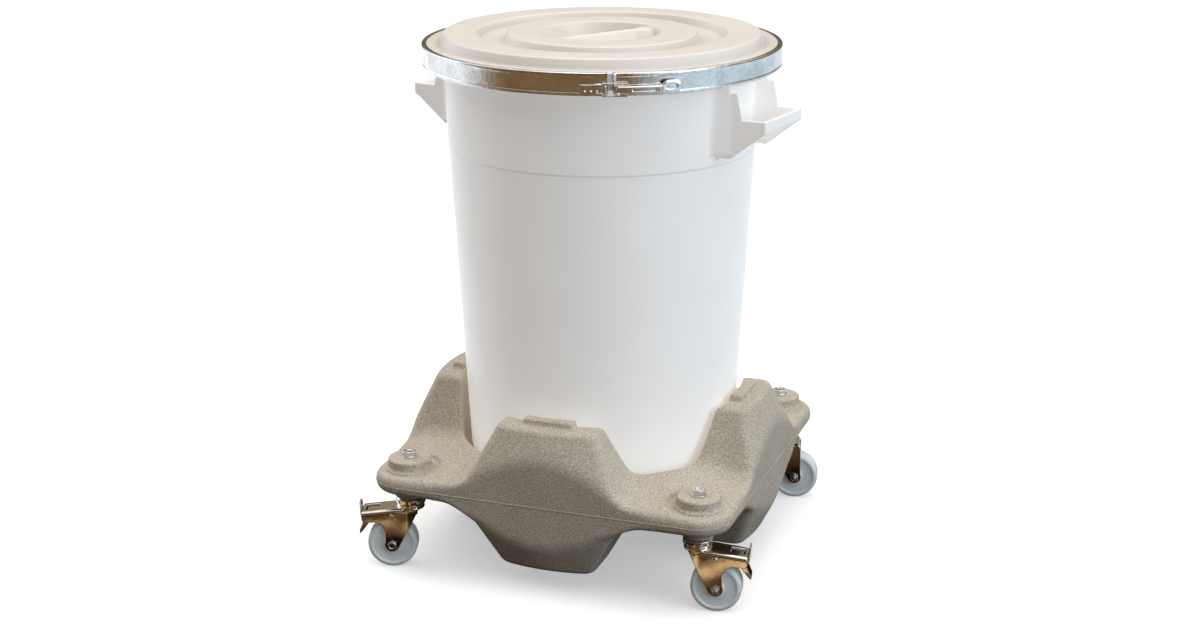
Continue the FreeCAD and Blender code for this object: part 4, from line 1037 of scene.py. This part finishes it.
def castors():
    """All four castors: each shape is made once."""
    d = CASTOR
    fine = cell_size(0.8)
    outside = d.inside + d.sheet
    forks = {braked: field_shell(fork_field(braked), (-26, -26, 24), (reach, 26, 111), fine)
             for braked, reach in ((True, 82), (False, 46))}
    pedal = field_shell(pedal_field, (20, -22, 49), (86, 22, 112), fine * 0.75)
    wheel = along_axle(wheel_shell())
    nut = field_shell(hexagon_field(13, 0, 6.5, bore=4), (-9, -9, -2), (9, 9, 8.5), 0.5)
    head = field_shell(hexagon_field(13, 0, 5, dish=0.8), (-9, -9, -2), (9, 9, 7), 0.5)
    shank = turned([(0.01, 0, 0), (4, 0, 0), (4, outside * 2 + 7, 1), (0.01, outside * 2 + 8, 0)],
                   32, closed=False)
    bolt = along_axle(merge(mirrored(head, 2), shank), -outside)
    rivet_corners = [(0.01, -1.6, 0), (2.9, -1.6, 1), (4, -0.2, 0.4), (3, 0, 0), (3, 20, 0), (0.01, 20, 0)]
    half = moved(along_axle(turned(rivet_corners, 32, closed=False), -outside),
                 (d.pin[0] - d.trail, 0, d.pin[1] - d.axle_z))
    rivet = merge(half, mirrored(half, 1))
    for corner in CORNERS:
        braked = f"brake_{corner}" in JOINTS
        origin, turn = corner_place(corner)
        castor = f"castor_{corner}"

        def put(name, shell, look, body, node):
            add_mesh(f"{name}_{corner}", moved(shell, origin, turn), look, body, f"{node}_{corner}")

        put("fork_pressing", forks[braked], CASTOR_STEEL, castor, "fork")
        put("nylon_wheel", wheel, NYLON, f"wheel_{corner}", "wheel")
        put("axle_locknut", along_axle(nut, outside), ZINC, castor, "axle_nut")
        put("axle_screw", bolt, ZINC, castor, "axle_bolt")
        if braked:
            put("brake_lever", pedal, CASTOR_STEEL, f"brake_{corner}", "brake_pedal")
            put("brake_rivet", rivet, ZINC, castor, "brake_pin")


def corner_hardware():
    """The four castor bolts, washers and head races, each kind one piece."""
    bolt_low, bolt_high = mm_box("castor_bolts")
    washer_low, washer_high = mm_box("bolt_washers")
    head_low, head_high = washer_high[2], bolt_high[2]
    hexagon = field_shell(hexagon_field(19, head_low, head_high, dish=1.2), (-12, -12, head_low - 2),
                          (12, 12, head_high + 2), 0.6)
    shank_low, shank_high = bolt_low[2], head_low + 1
    shank = turned([(0.01, shank_low, 0), (6, shank_low, 1), (6, shank_high, 0), (0.01, shank_high, 0)],
                   32, closed=False)
    kinds = (
        ("corner_bolts", merge(hexagon, shank), ZINC, "castor_bolts"),
        ("corner_washers", washer_shell(6.5, 12, washer_low[2], washer_high[2]), ZINC, "bolt_washers"),
        ("head_cups", head_shell(), CASTOR_STEEL, "castor_heads"),
    )
    for name, shell, look, node in kinds:
        copies = [moved(shell, corner_place(corner)[0], 11 + 23 * i) for i, corner in enumerate(CORNERS)]
        add_mesh(name, merge(*copies), look, "dolly", node)


# ---- studio


WARM_SIDE = (-0.09, -0.996, 0.0)     # level direction from the object to the middle of the floor's painted warm reflection
# The floor's colour for bounced light only: a painted dark warm bounce, while the camera sees the floor pale.
WARM_DARK = (0.035, 0.025, 0.018)
# Colours of the floor's painted reflections, seen only by glossy rays: warm dark patches near the object and in
# front, cool light to the sides.
WARM_PAINTED_REFLECTION = ((0.42, (0.012, 0.008, 0.006)), (0.52, (0.14, 0.075, 0.035)), (0.64, (0.85, 0.57, 0.29)))
COOL_PAINTED_REFLECTION = ((0.1, (1.12, 1.2, 1.28)), (0.9, (0.66, 0.82, 0.95)))
SKY = ((0.0, (0.02, 0.012, 0.008)), (0.35, (0.32, 0.25, 0.17)), (0.85, (1.36, 1.32, 1.26)))
SKY_PATCHES = (                      # direction, cosine at the edge, colour
    ((-0.15, -0.98, -0.1), 0.25, (0.07, 0.045, 0.025)),
    ((0.90, -0.30, 0.30), 0.81, (1.5, 1.8, 2.15)),
    ((-0.93, 0.25, 0.25), 0.84, (1.75, 1.9, 2.15)),
)


def floor_material():
    """A floor pale to the camera that throws back painted light, in place of a warm dark room's, to everything
    else: a dark warm bounce and painted reflections, darkest near the object and in front.
    """
    look = Nodes(bpy.data.materials.new("studio_floor"), scale=1)
    look.set("Base Color", look.ramp(look.noise(0.9, detail=2), (0.3, 0.86), (0.7, 0.89)))
    look.set("Roughness", 0.7)
    look.set("Specular IOR Level", 0.1)
    look.set("Emission Color", (0.98, 0.98, 0.98))
    look.set("Emission Strength", 0.42)

    way = look.vector("NORMALIZE", look.place)
    # Painted reflections: dark and warm in front, with painted shadow near the object, and cool towards the sides.
    front = look.ramp(look.vector("DOT_PRODUCT", way, WARM_SIDE), (0.35, 0.0), (0.75, 1.0))
    near = look.ramp(look.vector("LENGTH", look.place), (0.55, 1.0), (0.98, 0.0))
    dark = look.mix(1.0, front, near, "LIGHTEN")
    painted_reflection_patches = look.ramp(look.noise(0.16, detail=2), *WARM_PAINTED_REFLECTION)
    rightward = look.vector("ADD", look.vector("DOT_PRODUCT", way, (0.5, 0, 0)), (0.5, 0.5, 0.5))
    mirrored = look.mix(dark, look.ramp(rightward, *COOL_PAINTED_REFLECTION), painted_reflection_patches)
    # Diffuse rays see the painted dark warm bounce, glossy rays see the painted reflections, and only the camera
    # sees the pale floor.
    thrown = look.add("BsdfDiffuse", Color=look.mix(look.is_ray("Glossy"), WARM_DARK, mirrored))
    join = look.add("MixShader", Fac=look.is_ray("Camera"))
    look.feed(join.inputs[1], thrown.outputs[0])
    look.feed(join.inputs[2], look.shader.outputs[0])
    look.feed(look.tree.nodes["Material Output"].inputs["Surface"], join.outputs[0])
    return look.owner


def sky():
    """Light from all round: bright above, dim and warm in front, cool windows at both sides."""
    world = bpy.data.worlds.new("studio_world")
    bpy.context.scene.world = world
    look = Nodes(world, 1, "Generated")
    colour = look.ramp(look.vector("DOT_PRODUCT", look.place, (0, 0, 1)), *SKY)
    for toward, edge, shade in SKY_PATCHES:
        patch = look.ramp(look.vector("DOT_PRODUCT", look.place, toward), (edge, 0.0), (0.97, 1.0))
        colour = look.mix(patch, colour, shade)
    seen = look.mix(look.is_ray("Camera"), colour, (1, 1, 1))
    look.feed(look.tree.nodes["Background"].inputs["Color"], seen)


def softbox(name, place, target, size, power, colour=(1, 1, 1)):
    """A large rectangular lamp that shines from a place at a target."""
    light = bpy.data.lights.new(name, "AREA")
    light.shape = "RECTANGLE"
    light.size, light.size_y = size
    light.energy = power
    light.color = colour
    lamp = add_object(name, light)
    lamp.location = place
    lamp.rotation_euler = (Vector(target) - Vector(place)).to_track_quat("-Z", "Y").to_euler()


def studio():
    """A wide pale floor, the sky and two large soft lamps."""
    mesh = bpy.data.meshes.new("studio_floor")
    reach, sides = 30.0, 48
    angles = [2 * math.pi * k / sides for k in range(sides)]
    points = [(reach * math.cos(angle), reach * math.sin(angle), 0) for angle in angles]
    mesh.from_pydata(points, [], [tuple(range(sides))])
    mesh.materials.append(floor_material())
    add_object("studio_floor", mesh)
    sky()
    softbox("top_light", (0.1, -0.2, 3.0), (0, 0, 0.4), (1.6, 1.6), 9)
    softbox("side_light", (3.0, -0.9, 1.5), (0, 0, 0.45), (1.2, 1.8), 9, (0.86, 0.94, 1.0))
    bpy.context.scene.view_settings.view_transform = "Standard"


def camera():
    """The camera: in front and a little to the right, looking slightly down."""
    data = bpy.data.cameras.new("camera")
    data.lens = 59.6
    data.sensor_width = 36.0
    data.clip_end = 60
    eye = add_object("camera", data)
    eye.location = (1.0399, -2.923, 1.3508)
    pitch, heading, roll = 17.46, 19.63, 0.07
    eye.rotation_euler = (math.radians(90 - pitch), math.radians(roll), math.radians(heading))
    bpy.context.scene.camera = eye


# The bucket's white plastic carries a painted glow of strength 0.32.
plastic(WHITE, ((0.86, 0.845, 0.825), (0.89, 0.88, 0.865)), (0.29, 0.37), 0.32)
# The lid's cream plastic: no glow, and painted shade in its creases.
plastic(CREAM, ((0.86, 0.795, 0.725), (0.89, 0.835, 0.77)), (0.29, 0.37), 0.0, lid_painted_crease_shade)
granite_plastic()
galvanised()
bright_plate(LOCK_STEEL, (0.78, 0.78, 0.77), (0.10, 0.26))
bright_plate(CASTOR_STEEL, (0.80, 0.77, 0.71), (0.03, 0.12))
bright_plate(ZINC, (0.80, 0.81, 0.82), (0.08, 0.22))
nylon()
rubber()

finish_cad_nodes()
dolly()
bucket()
lid()
clamp()
castors()
corner_hardware()
studio()
camera()
